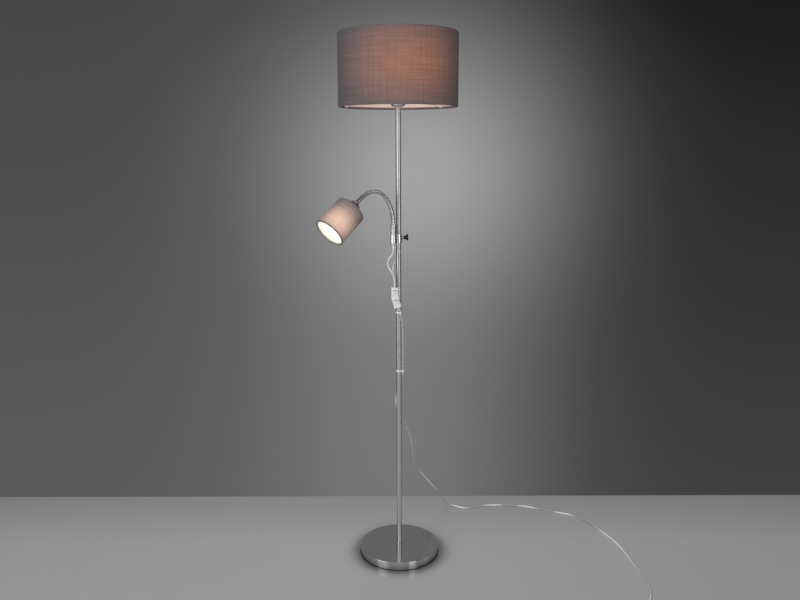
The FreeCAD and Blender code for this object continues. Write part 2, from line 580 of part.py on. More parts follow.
def build_clamp():
    """Liner, die-cast double barrel, wing screw, ferrule and cord gland."""
    half = HALF_CLAMP
    add("clamp_liner", tube(LINER_DIA, POLE_DIA + 2 * RUNNING, -half, half), CLAMP_FRAME)

    arm_axis = Placement(Vector(-ARM_OFFSET, 0, 0), Rotation())
    web_height = CLAMP_LENGTH - 2 * WEB_RECESS
    boss_start = POLE_BARREL_DIA / 2 - OVERLAP
    boss_end = POLE_BARREL_DIA / 2 + BOSS_LENGTH
    body = bevelled(POLE_BARREL_DIA, -half, half, BARREL_EDGE)
    body = body.fuse(placed(bevelled(ARM_BARREL_DIA, -half, half, BARREL_EDGE), arm_axis))
    body = body.fuse(block(ARM_OFFSET, WEB_THICKNESS, web_height, Vector(-ARM_OFFSET / 2, 0, 0)))
    body = body.fuse(rod(Vector(0, 0, 0), Vector(boss_end, 0, 0), BOSS_DIA))
    body = body.cut(tube(CLAMP_BORE, 0, -half - OVERLAP, half + OVERLAP))
    stud_bore = NIPPLE_DIA + 2 * SEAT
    body = body.cut(placed(tube(stud_bore, 0, -half - OVERLAP, half + OVERLAP), arm_axis))
    body = body.cut(rod(Vector(0, 0, 0), Vector(boss_end + OVERLAP, 0, 0), SCREW_DIA + 2 * RUNNING))
    add("clamp_body", body, CLAMP_FRAME)

    tip = LINER_DIA / 2 + 2 * RUNNING
    apex = boss_end + SCREW_SHOWN
    edge = apex + WING_LENGTH
    thread = rod(Vector(tip, 0, 0), Vector(apex + WING_LENGTH / 2, 0, 0), SCREW_DIA)
    lobe = WING_SPAN / 2
    corner = lobe / 5
    wing = Part.Wire([
        Part.LineSegment(Vector(apex, 0, SCREW_DIA / 2), Vector(edge - 2 * corner, 0, lobe - corner / 3)).toShape(),
        Part.Arc(Vector(edge - 2 * corner, 0, lobe - corner / 3), Vector(edge - corner / 2, 0, lobe),
                 Vector(edge, 0, lobe - 1.5 * corner)).toShape(),
        Part.Arc(Vector(edge, 0, lobe - 1.5 * corner), Vector(edge - corner / 2, 0, 0),
                 Vector(edge, 0, 1.5 * corner - lobe)).toShape(),
        Part.Arc(Vector(edge, 0, 1.5 * corner - lobe), Vector(edge - corner / 2, 0, -lobe),
                 Vector(edge - 2 * corner, 0, corner / 3 - lobe)).toShape(),
        Part.LineSegment(Vector(edge - 2 * corner, 0, corner / 3 - lobe), Vector(apex, 0, -SCREW_DIA / 2)).toShape(),
        Part.LineSegment(Vector(apex, 0, -SCREW_DIA / 2), Vector(apex, 0, SCREW_DIA / 2)).toShape()])
    plate = Part.Face(wing).extrude(Vector(0, WING_THICKNESS, 0))
    plate.translate(Vector(0, -WING_THICKNESS / 2, 0))
    hub = rod(Vector(apex, 0, 0), Vector(apex + WING_LENGTH / 3, 0, 0), WING_HUB)
    add("wing_screw", thread.fuse(plate).fuse(hub), CLAMP_FRAME)

    top = half + FERRULE_LENGTH
    ferrule = bevelled(FERRULE_DIA, half, top, FERRULE_EDGE)
    ferrule = ferrule.fuse(tube(NIPPLE_DIA, 0, half - STUD_LENGTH, half + OVERLAP))
    ferrule = ferrule.cut(tube(NECK_BORE, 0, half - STUD_LENGTH - OVERLAP, top + OVERLAP))
    ferrule = ferrule.cut(tube(NECK_DIA + 2 * SEAT, 0, top - HOSE_SEAT, top + OVERLAP))
    add("arm_ferrule", ferrule, CLAMP_FRAME, arm_axis)

    stem, ring = GLAND_STEM, GLAND_RING
    ring_bottom = -half - stem[1] - ring[1]
    gland = tube(stem[0], 0, ring_bottom + OVERLAP, -half + OVERLAP)
    gland = gland.fuse(bevelled(ring[0], ring_bottom, ring_bottom + ring[1], BARREL_EDGE))
    gland = gland.fuse(tube(NIPPLE_DIA, 0, -half, -half + GLAND_PLUG))
    gland = gland.cut(tube(GLAND_BORE, 0, ring_bottom - OVERLAP, half))
    add("cord_gland", gland, CLAMP_FRAME, arm_axis)


def gland_end():
    """Where the reading cord leaves its gland."""
    depth = HALF_CLAMP + GLAND_STEM[1] + GLAND_RING[1]
    return CLAMP_FRAME.multVec(Vector(-ARM_OFFSET, 0, -depth))


# Gooseneck: links that are arcs in the arm's plane, a ball end of one in the hollow seat of the next

def neck_frames():
    """Start and direction of each link, and of the end. A direction is the angle above outward."""
    point = NECK_START
    angle = 90.0
    frames = [(point, angle)]
    for turn in NECK_TURNS:
        point = along_link(point, angle, turn, NECK_LINK).Base
        angle -= turn
        frames.append((point, angle))
    return frames


def along_link(start, angle, turn, distance):
    """Placement at a distance along a link's arc, its Z along the arc. Past the end it runs straight."""
    on_arc = min(max(distance, 0), NECK_LINK)
    radius = NECK_LINK / math.radians(turn)
    first = math.radians(angle)
    last = first - on_arc / radius
    out = radius * (math.sin(first) - math.sin(last))
    up = radius * (math.cos(last) - math.cos(first))
    beyond = distance - on_arc
    out += beyond * math.cos(last)
    up += beyond * math.sin(last)
    return Placement(start + Vector(-out, 0, up), Rotation(Vector(0, 1, 0), math.degrees(last) - 90))


def ruled(start, angle, turn, sections):
    """Ruled solid through circles at (distance, radius) along a link."""
    rings = []
    for distance, radius in sections:
        ring = Part.Wire(Part.Circle(Vector(), Vector(0, 0, 1), radius).toShape())
        ring.Placement = along_link(start, angle, turn, distance)
        rings.append(ring)
    return Part.makeLoft(rings, True, True)


def build_neck():
    """The links of the gooseneck, each ribbed by grooves between rounded turns."""
    frames = neck_frames()
    crest = NECK_DIA / 2
    root = crest - RIB_DEPTH
    seat = crest + BALL_GAP
    bore = NECK_BORE / 2
    last = len(NECK_TURNS)
    for number, turn in enumerate(NECK_TURNS, 1):
        start, angle = frames[number - 1]
        first_link = number == 1
        last_link = number == last
        begin = -HOSE_SEAT if first_link else LINK_GAP
        plain = NECK_DIA if first_link else LINK_GAP + RIB_PITCH / 2
        stop = NECK_LINK - (NECK_DIA if last_link else RIB_PITCH)
        count = int((stop - plain) / RIB_PITCH)
        sections = [(begin, crest), (0, crest)] if first_link else [(begin, crest)]
        for k in range(count):
            here = plain + k * RIB_PITCH
            sections += [(here, crest), (here + 0.15 * RIB_PITCH, root),
                         (here + 0.35 * RIB_PITCH, root), (here + 0.5 * RIB_PITCH, crest)]
        sections.append((NECK_LINK, crest))
        end = NECK_LINK
        if not last_link:
            for share in (0.3, 0.55, 0.72):
                end = NECK_LINK + share * crest
                sections.append((end, crest * math.sqrt(1 - share ** 2)))
        else:
            end = NECK_LINK + READING_NUT[1] - OVERLAP
            sections.append((end, crest))
        if first_link:
            hollow = [(begin - OVERLAP, bore), (end + OVERLAP, bore)]
        else:
            hollow = [(LINK_GAP + step, math.sqrt(seat ** 2 - (LINK_GAP + step) ** 2) + BALL_GAP / 3)
                      for step in (-OVERLAP / 2, 0.3, 0.9, 1.5, 2.1, 2.6)]
            hollow += [(seat, bore), (end + OVERLAP, bore)]
        link = ruled(start, angle, turn, sections).cut(ruled(start, angle, turn, hollow))
        add(f"neck_link_{number}", link, CLAMP_FRAME)
    return frames[-1]


# Inline switch: two halves of one housing at a slight angle, a rocker in each

def switch_halves(inset):
    """Both halves of the housing as one solid, drawn in by inset on every side."""
    width = SWITCH_WIDTH - 2 * inset
    depth = SWITCH_DEPTH - 2 * inset
    radius = max(SWITCH_ROUND - inset, 0.5)
    upper = rounded_block(width, depth, SWITCH_UPPER - inset, radius, Vector(0, 0, (SWITCH_UPPER - inset) / 2))
    lower = rounded_block(width, depth, SWITCH_LOWER - inset, radius, Vector(0, 0, -(SWITCH_LOWER - inset) / 2))
    knee = Part.makeCylinder(width / 2, depth, Vector(0, -depth / 2, 0), Vector(0, 1, 0))
    lower = placed(lower, Placement(Vector(), Rotation(Vector(0, 1, 0), -SWITCH_BEND)))
    return placed(upper.fuse(knee).fuse(lower), SWITCH_FRAME)


def build_switch():
    """Two shells, two rockers, their contacts and the two screws that hold the shells together."""
    shell = switch_halves(0).cut(switch_halves(SWITCH_WALL))
    middle = SWITCH_MIDDLE
    reach = 2 * (SWITCH_UPPER + SWITCH_LOWER)
    behind = block(reach, SWITCH_DEPTH, reach, middle + Vector(0, SWITCH_DEPTH / 2, 0))
    ahead = block(reach, SWITCH_DEPTH, reach, middle - Vector(0, SWITCH_DEPTH / 2, 0))
    back = shell.common(behind)
    front = shell.common(ahead)

    hub_dia, pin_dia, pin_length = ROCKER_PIVOT
    inner_front = -SWITCH_DEPTH / 2 + SWITCH_WALL
    pivot_y = inner_front + hub_dia / 2
    window = ROCKER_WIDTH + 2 * ROCKER_WINDOW
    ear_x = window / 2 + EAR_THICKNESS / 2
    rockers = []
    contacts = []
    for frame, length, side in ((SWITCH_FRAME, SWITCH_UPPER, 1), (LOWER_HALF, SWITCH_LOWER, -1)):
        centre = side * (length / 2 - SWITCH_WALL / 2)
        pivot = Placement(Vector(0, pivot_y, centre), Rotation())
        opening = block(window, 3 * SWITCH_WALL, ROCKER_LENGTH + 2 * ROCKER_WINDOW,
                        Vector(0, -SWITCH_DEPTH / 2 + SWITCH_WALL / 2, centre))
        front = front.cut(placed(opening, frame))
        ears = []
        for x in (-ear_x, ear_x):
            ear = block(EAR_THICKNESS, hub_dia + SWITCH_WALL / 2, hub_dia,
                        Vector(x, pivot_y - SWITCH_WALL / 4, centre))
            ears.append(ear)
        pin_hole = rod(Vector(-2 * ear_x, pivot_y, centre), Vector(2 * ear_x, pivot_y, centre),
                       pin_dia + 2 * RUNNING)
        for ear in ears:
            front = front.fuse(placed(ear.cut(pin_hole), frame))

        depth = pivot_y + SWITCH_DEPTH / 2 + ROCKER_PROUD
        half_length = ROCKER_LENGTH / 2
        lift = math.tan(math.radians(ROCKER_REST)) * half_length
        face = Part.makePolygon([
            Vector(-ROCKER_WIDTH / 2, 0, half_length), Vector(-ROCKER_WIDTH / 2, -depth, half_length),
            Vector(-ROCKER_WIDTH / 2, lift - depth, 0), Vector(-ROCKER_WIDTH / 2, -depth, -half_length),
            Vector(-ROCKER_WIDTH / 2, 0, -half_length), Vector(-ROCKER_WIDTH / 2, 0, half_length)])
        rocker = Part.Face(face).extrude(Vector(ROCKER_WIDTH, 0, 0))
        swing = half_length / math.cos(math.radians(ROCKER_REST))
        trim = rod(Vector(-ROCKER_WIDTH, 0, 0), Vector(ROCKER_WIDTH, 0, 0), 2 * swing - 2 * ROCKER_WINDOW)
        rocker = rocker.common(trim.fuse(block(2 * ROCKER_WIDTH, 2 * depth, 0.9 * ROCKER_LENGTH, Vector())))
        keep_out = block(2 * ROCKER_WIDTH, depth, ROCKER_LENGTH, Vector(0, depth / 2, 0))
        rocker = rocker.cut(keep_out)
        rocker = rocker.fuse(rod(Vector(-ROCKER_WIDTH / 2, 0, 0), Vector(ROCKER_WIDTH / 2, 0, 0), hub_dia))
        pin_reach = ROCKER_WIDTH / 2 + ROCKER_WINDOW + pin_length
        rocker = rocker.fuse(rod(Vector(-pin_reach, 0, 0), Vector(pin_reach, 0, 0), pin_dia))
        tilt = Placement(Vector(), Rotation(Vector(1, 0, 0), ROCKER_REST))
        rockers.append(placed(rocker, frame, pivot, tilt))

        inner_back = SWITCH_DEPTH / 2 - SWITCH_WALL
        for z in (-1, 1):
            terminal = block(*TERMINAL, Vector(z * TERMINAL[0] * 0.7, inner_back - TERMINAL[1] / 2, centre))
            contacts.append(placed(terminal, frame))

    head, boss = SCREW_SIZE, SCREW_BOSS
    screws = []
    outer_back = SWITCH_DEPTH / 2
    for x in (-SCREW_PLACE, SCREW_PLACE):
        at = Vector(x, 0, 0)
        post_back = rod(at, at + Vector(0, outer_back - SWITCH_WALL / 2, 0), boss)
        post_front = rod(at, at - Vector(0, outer_back - SWITCH_WALL / 2, 0), boss)
        shank = rod(at + Vector(0, outer_back + OVERLAP, 0), at - Vector(0, outer_back / 2, 0), head[0] + 2 * SEAT)
        sink = rod(at + Vector(0, outer_back - head[2], 0), at + Vector(0, outer_back + OVERLAP, 0),
                   head[1] + 2 * SEAT)
        back = back.fuse(placed(post_back, SWITCH_FRAME))
        back = back.cut(placed(shank, SWITCH_FRAME)).cut(placed(sink, SWITCH_FRAME))
        front = front.fuse(placed(post_front, SWITCH_FRAME)).cut(placed(shank, SWITCH_FRAME))
        screw = rod(at + Vector(0, outer_back - head[2], 0), at + Vector(0, outer_back, 0), head[1])
        tip = at - Vector(0, outer_back / 2 - OVERLAP, 0)
        screws.append(placed(screw.fuse(rod(at + Vector(0, outer_back - OVERLAP, 0), tip, head[0])), SWITCH_FRAME))

    hole = CORD_DIA + 2 * RUNNING
    for entry, inward in cord_entries():
        tool = rod(entry - inward * OVERLAP, entry + inward * (SWITCH_WALL + OVERLAP), hole)
        back = back.cut(tool)
        front = front.cut(tool)
    add("switch_back", back)
    add("switch_front", front)
    add("switch_rocker_upper", rockers[0])
    add("switch_rocker_lower", rockers[1])
    add("switch_contacts", Part.makeCompound(contacts))
    add("switch_screws", Part.makeCompound(screws))


def cord_entries():
    """Where the reading, lamp and supply cords enter the switch, and the direction inwards."""
    reading = SWITCH_FRAME.multVec(Vector(0, -CORD_SPACING, SWITCH_UPPER))
    lamp = SWITCH_FRAME.multVec(Vector(0, CORD_SPACING, SWITCH_UPPER))
    supply = LOWER_HALF.multVec(Vector(*CORD_EXIT, -SWITCH_LOWER))
    upward = LOWER_HALF.Rotation.multVec(Vector(0, 0, 1))
    return ((reading, Vector(0, 0, -1)), (lamp, Vector(0, 0, -1)), (supply, upward))


# Cords, clips and plug

def clip_eye(azimuth):
    """Centre of a clip's cord eye, at the floor's height."""
    distance = POLE_R + CLIP_WALL + CORD_R + CLIP_REACH
    turn = math.radians(azimuth)
    return Vector(distance * math.cos(turn), distance * math.sin(turn), 0)


def build_cords():
    """The reading cord, the main lamp's cord and the supply cord with its plug."""
    (reading, down), (lamp, _), (supply, upward) = cord_entries()
    into = SWITCH_WALL
    gland = gland_end()
    outlet_up = Vector(0, 0, OUTLET_HEIGHT)
    start = [gland, gland + down * CORD_LEAD]
    middle = [outlet_up + point for point in READING_ROUTE]
    end = [reading - down * CORD_LEAD, reading + down * into]
    add("reading_cord", cord_tube("reading_cord", start + middle + end, CORD_DIA))

    outlet = outlet_end()
    start = [outlet, outlet + outlet_axis()[1] * CORD_LEAD]
    middle = [outlet_up + point for point in LAMP_ROUTE]
    end = [lamp - down * CORD_LEAD, lamp + down * into]
    add("lamp_cord", cord_tube("lamp_cord", start + middle + end, CORD_DIA))

    route = [supply + upward * into, supply - upward * CLIP_HEIGHT]
    places = list(zip((UPPER_CLIP, LOWER_CLIP), CLIP_AZIMUTHS))
    for (height, azimuth), run in zip(places, CLIP_RUNS):
        eye = clip_eye(azimuth)
        route += [eye + Vector(0, 0, height + run), eye + Vector(0, 0, height - run)]
        if height == UPPER_CLIP:
            route += [Vector(point.x, point.y, height + point.z) for point in BETWEEN_CLIPS]
    fall = LOWER_CLIP / FALL_HEIGHT
    route += [Vector(point.x, point.y, point.z * fall) for point in SUPPLY_FALL]
    plug_end = PLUG_PLACE + Vector(PLUG_TAIL[0], 0, PLUG_BODY[2] / 2)
    route += SUPPLY_FLOOR + [plug_end + Vector(CORD_LEAD, 0, 0), plug_end]
    add("supply_cord", cord_tube("supply_cord", route, CORD_DIA))

    clips = []
    for height, azimuth in places:
        grip = POLE_R + SEAT
        eye = CORD_R + CLIP_EYE_GAP
        eye_x = clip_eye(0).x
        clip = tube(2 * (grip + CLIP_WALL), 0, 0, CLIP_HEIGHT)
        holder = tube(2 * (eye + CLIP_WALL), 0, 0, CLIP_HEIGHT)
        clip = clip.fuse(placed(holder, Placement(Vector(eye_x, 0, 0), Rotation())))
        clip = clip.cut(tube(2 * grip, 0, -OVERLAP, CLIP_HEIGHT + OVERLAP))
        clip = clip.cut(placed(tube(2 * eye, 0, -OVERLAP, CLIP_HEIGHT + OVERLAP),
                               Placement(Vector(eye_x, 0, 0), Rotation())))
        mouth = block(2 * grip, CLIP_MOUTH, 2 * CLIP_HEIGHT, Vector(-grip, 0, CLIP_HEIGHT / 2))
        clip = clip.cut(mouth)
        clips.append(placed(clip, Placement(Vector(0, 0, height - CLIP_HEIGHT / 2),
                                            Rotation(Vector(0, 0, 1), azimuth))))
    add("cord_clips", Part.makeCompound(clips))

    length, width, thickness = PLUG_BODY
    middle = thickness / 2
    centre = PLUG_PLACE + Vector(0, 0, middle)
    shape = [Vector(0, -width / 2, 0), Vector(-length * 0.45, -width / 2, 0), Vector(-length, -PLUG_NOSE / 2, 0),
             Vector(-length, PLUG_NOSE / 2, 0), Vector(-length * 0.45, width / 2, 0), Vector(0, width / 2, 0)]
    face = Part.Face(Part.makePolygon([p + PLUG_PLACE for p in shape + shape[:1]]))
    plug = face.extrude(Vector(0, 0, thickness))
    tail = Part.makeCone(PLUG_BODY[2] / 2, PLUG_TAIL[1] / 2, PLUG_TAIL[0], centre, Vector(1, 0, 0))
    plug = plug.fuse(tail)
    pins = []
    for y in (-PIN_SPACING / 2, PIN_SPACING / 2):
        start = centre + Vector(-length * 0.8, y, 0)
        end = centre + Vector(-length - PIN_LENGTH, y, 0)
        plug = plug.cut(rod(start, end, PIN_DIA + 2 * SEAT))
        pins.append(rod(start, end, PIN_DIA))
    add("plug_body", plug)
    add("plug_pins", Part.makeCompound(pins))


def build():
    """Builds every piece and writes one file for each."""
    build_foot()
    build_pole()
    main_frame = Placement(Vector(0, 0, POLE_TOP), Rotation())
    nipple_bore = NIPPLE_DIA + 2 * SEAT
    main_rim = lampholder("main", main_frame, MAIN_NUT, MAIN_CUP_DIA, MAIN_CUP_FLOOR, MAIN_CUP_HEIGHT, MAIN_BELL,
                          MAIN_HOLDER_DIA, MAIN_HOLDER_ABOVE, MAIN_HOLDER_BORE, MAIN_HOLDER_FLOOR, MAIN_SHADE_NUT, MAIN_BULB_DIA,
                          MAIN_BULB_LENGTH, MAIN_BULB_CAP, nipple_bore)
    shade_frame = Placement(Vector(0, 0, SHADE_BOTTOM), Rotation())
    drum("main", shade_frame, SHADE_DIA, SHADE_DIA, SHADE_HEIGHT, SHADE_WIRE, SHADE_FABRIC, SHADE_LINER,
         SHADE_HEM, SHADE_ARM_DIA, SHADE_ARM_AZIMUTH, MAIN_HOLDER_DIA, POLE_TOP + main_rim - SHADE_BOTTOM, True)

    build_clamp()
    end, angle = build_neck()
    head_frame = CLAMP_FRAME.multiply(Placement(end, Rotation(Vector(0, 1, 0), angle - 90)))
    rim = lampholder("reading", head_frame, READING_NUT, READING_CUP_DIA, READING_CUP_FLOOR, READING_CUP_HEIGHT,
                     READING_BELL, READING_HOLDER_DIA, READING_HOLDER_ABOVE, READING_HOLDER_BORE, READING_HOLDER_FLOOR,
                     READING_SHADE_NUT, READING_BULB_DIA, READING_BULB_LENGTH, READING_BULB_CAP,
                     NECK_DIA + 2 * SEAT)
    drum("reading", head_frame.multiply(Placement(Vector(0, 0, rim), Rotation())), READING_TOP_DIA,
         READING_OPEN_DIA, READING_HEIGHT, READING_WIRE, READING_FABRIC, READING_LINER, READING_HEM,
         READING_ARM_DIA, READING_ARM_AZIMUTH, READING_HOLDER_DIA, 0, True)

    build_switch()
    build_cords()
    os.makedirs("parts", exist_ok=True)
    for name, shape in nodes.items():
        shape.exportStep(f"parts/{name}.step")
    print(len(nodes), "pieces")


build()
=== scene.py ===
"""Looks of a floor lamp with a drum shade and a small reading light on a gooseneck.

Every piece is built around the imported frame, in metres, +Z up, with the origin on the floor on the
pole's axis. Sizes below are in millimetres and become metres where a mesh is made. Finishes and the
studio are in metres.
"""

import logging
import math
from dataclasses import dataclass, field
from enum import Enum

import bmesh
import bpy
import numpy as np
from mathutils import Matrix, Vector


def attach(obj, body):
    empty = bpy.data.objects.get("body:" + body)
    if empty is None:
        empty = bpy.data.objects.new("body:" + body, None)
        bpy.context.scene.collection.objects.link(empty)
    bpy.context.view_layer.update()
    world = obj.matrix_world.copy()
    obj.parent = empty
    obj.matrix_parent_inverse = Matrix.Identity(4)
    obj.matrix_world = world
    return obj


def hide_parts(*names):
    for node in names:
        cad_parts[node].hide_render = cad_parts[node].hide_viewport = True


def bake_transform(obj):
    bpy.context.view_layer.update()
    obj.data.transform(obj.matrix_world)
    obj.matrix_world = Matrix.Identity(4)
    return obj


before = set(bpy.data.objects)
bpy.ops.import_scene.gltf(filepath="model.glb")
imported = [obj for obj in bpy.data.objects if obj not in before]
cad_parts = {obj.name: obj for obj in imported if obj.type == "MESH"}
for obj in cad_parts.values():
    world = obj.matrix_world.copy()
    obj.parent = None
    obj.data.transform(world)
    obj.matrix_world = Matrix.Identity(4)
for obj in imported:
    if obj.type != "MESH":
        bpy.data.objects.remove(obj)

LOG = logging.getLogger("floor_lamp")
MM = 0.001
TAU = 2 * math.pi
IMAGE_WIDTH = 800
PATTERN = "Surface"
SAME_PLACE = 1e-7

Colour = tuple[float, float, float]
Point = tuple[float, float, float]
Array = np.ndarray
Material, Piece = bpy.types.Material, bpy.types.Object
Node, NodeTree, Socket = bpy.types.Node, bpy.types.NodeTree, bpy.types.NodeSocket
Value = Socket | float | tuple


class Direction(Enum):
    """How a metal is brushed."""

    AROUND = "in circles round a piece's own axis"
    NONE = "polished, with no grain"


# Numbers and frames


@dataclass(frozen=True)
class Place:
    """A local frame in the lamp: where its origin is and how it is turned.

    Attributes:
        origin: place of the local origin, in millimetres.
        turn: 3 by 3 matrix whose columns are the local axes.
    """

    origin: Array
    turn: Array

    def out(self, points: Array) -> Array:
        """Local points in the lamp's frame: turned, then moved to the origin."""
        return np.asarray(points, float) @ self.turn.T + self.origin

    def matrix(self) -> Matrix:
        """The frame as a matrix in metres."""
        rows = np.c_[self.turn, self.origin * MM]
        return Matrix([*rows.tolist(), [0, 0, 0, 1]])


def turn_about(axis: str, degrees: float) -> Array:
    """Rotation matrix about the y or z axis.

    Args:
        axis: "y" or "z".
        degrees: angle by the right-hand rule.

    Returns:
        The 3 by 3 matrix.
    """
    c, s = math.cos(math.radians(degrees)), math.sin(math.radians(degrees))
    if axis == "y":
        return np.array([[c, 0, s], [0, 1, 0], [-s, 0, c]])
    return np.array([[c, -s, 0], [s, c, 0], [0, 0, 1]])


def half_turn(degrees: Array) -> Array:
    """Angles brought between -180 and 180 degrees."""
    return (degrees + 180) % 360 - 180


# Meshes


def mesh_piece(name: str, points: Array, faces: Array, material: Material,
               uv: Array | None = None, sharp: float = 35.0) -> Piece:
    """Makes a closed skin at the origin, its doubles merged and its faces turned outwards.

    Args:
        name: the piece's name.
        points: n by 3 points in the lamp's frame, in millimetres.
        faces: m by 4 corner numbers.
        material: its finish.
        uv: n by 2 pattern coordinates in metres, one for each point.
        sharp: edges that turn by more degrees than this stay crisp.

    Returns:
        The new object, in the scene.
    """
    mesh = bpy.data.meshes.new(name)
    mesh.from_pydata((np.asarray(points) * MM).tolist(), [], np.asarray(faces).tolist())
    if uv is not None:
        layer = mesh.uv_layers.new(name=PATTERN)
        corners = np.zeros(len(mesh.loops), np.int32)
        mesh.loops.foreach_get("vertex_index", corners)
        layer.data.foreach_set("uv", np.asarray(uv, np.float32)[corners].ravel())
    skin = bmesh.new()
    skin.from_mesh(mesh)
    bmesh.ops.remove_doubles(skin, verts=skin.verts, dist=SAME_PLACE)
    bmesh.ops.recalc_face_normals(skin, faces=skin.faces)
    skin.to_mesh(mesh)
    skin.free()
    mesh.shade_smooth()
    mesh.set_sharp_from_angle(angle=math.radians(sharp))
    mesh.materials.append(material)
    piece = bpy.data.objects.new(name, mesh)
    bpy.context.scene.collection.objects.link(piece)
    return piece


def grid_faces(rows: int, columns: int, close_rows: bool, close_columns: bool) -> Array:
    """Four-cornered faces of a grid of points, row by row.

    Args:
        rows: number of rows of points.
        columns: number of points in a row.
        close_rows: whether the last row joins the first one.
        close_columns: whether each row is a ring.

    Returns:
        m by 4 corner numbers.
    """
    i = np.arange(rows if close_rows else rows - 1)[:, None]
    j = np.arange(columns if close_columns else columns - 1)[None, :]
    right, below = (j + 1) % columns, (i + 1) % rows
    corners = [i * columns + j, i * columns + right, below * columns + right, below * columns + j]
    return np.stack([np.broadcast_to(c, (i.size, j.size)) for c in corners], -1).reshape(-1, 4)


def run_along(line: Array) -> Array:
    """Distance of each point from the first one, along the line."""
    return np.r_[0, np.cumsum(np.linalg.norm(np.diff(line, axis=0), axis=1))]


def tube_frames(line: Array) -> tuple[Array, Array]:
    """Two directions across a line that don't twist round it.

    Each ring's first direction is the last ring's, with its part along the line taken out.

    Args:
        line: n by 3 points.

    Returns:
        Unit vectors across and across again, each n by 3.
    """
    off_line = [0.31, 0.22, 0.92]
    along = np.gradient(line, axis=0)
    along /= np.linalg.norm(along, axis=1)[:, None]
    first = np.cross(along[0], off_line)
    across = np.empty_like(line)
    for ring, direction in enumerate(along):
        first = first - direction * (first @ direction)
        first = first / np.linalg.norm(first)
        across[ring] = first
    return across, np.cross(along, across)


def ring_directions(across: Array, second: Array, angle: Array) -> Array:
    """Directions round each ring of a tube: cos(angle) across + sin(angle) second.

    Args:
        across: n by 3 unit vectors.
        second: n by 3 unit vectors, or one for all rings.
        angle: where round the ring, in radians.

    Returns:
        n by sides by 3 unit vectors.
    """
    second = np.broadcast_to(second, across.shape)
    return (np.cos(angle)[None, :, None] * across[:, None]
            + np.sin(angle)[None, :, None] * second[:, None])


def capped(skin: Array, middle: Array) -> Array:
    """A tube's rings with a ring of doubles at its middle before the first and after the last."""
    ends = [np.repeat(middle[k][None, None], skin.shape[1], 1) for k in (0, -1)]
    return np.concatenate([ends[0], skin, ends[1]])


def swept(name: str, line: Array, radius: float, material: Material, sides: int = 20,
          offset: tuple[Array, Array] | None = None) -> Piece:
    """Closed round tube along a line: each ring is line + radius (cos a across + sin a second).

    Args:
        name: the piece's name.
        line: n by 3 points in millimetres.
        radius: of the tube.
        material: its finish.
        sides: points round each ring.
        offset: how far each ring's middle stands off the line, along the two cross directions.

    Returns:
        The tube.
    """
    across, second = tube_frames(line)
    middle = line
    if offset is not None:
        middle = line + offset[0][:, None] * across + offset[1][:, None] * second
    angle = np.linspace(0, TAU, sides, endpoint=False)
    skin = capped(middle[:, None] + radius * ring_directions(across, second, angle), middle)
    length = run_along(line)
    length = np.r_[length[0], length, length[-1]]
    uv = np.stack(np.broadcast_arrays(angle[None, :] / TAU, length[:, None] * MM), -1)
    faces = grid_faces(len(skin), sides, False, True)
    return mesh_piece(name, skin.reshape(-1, 3), faces, material, uv.reshape(-1, 2))


# Shader groups and finishes


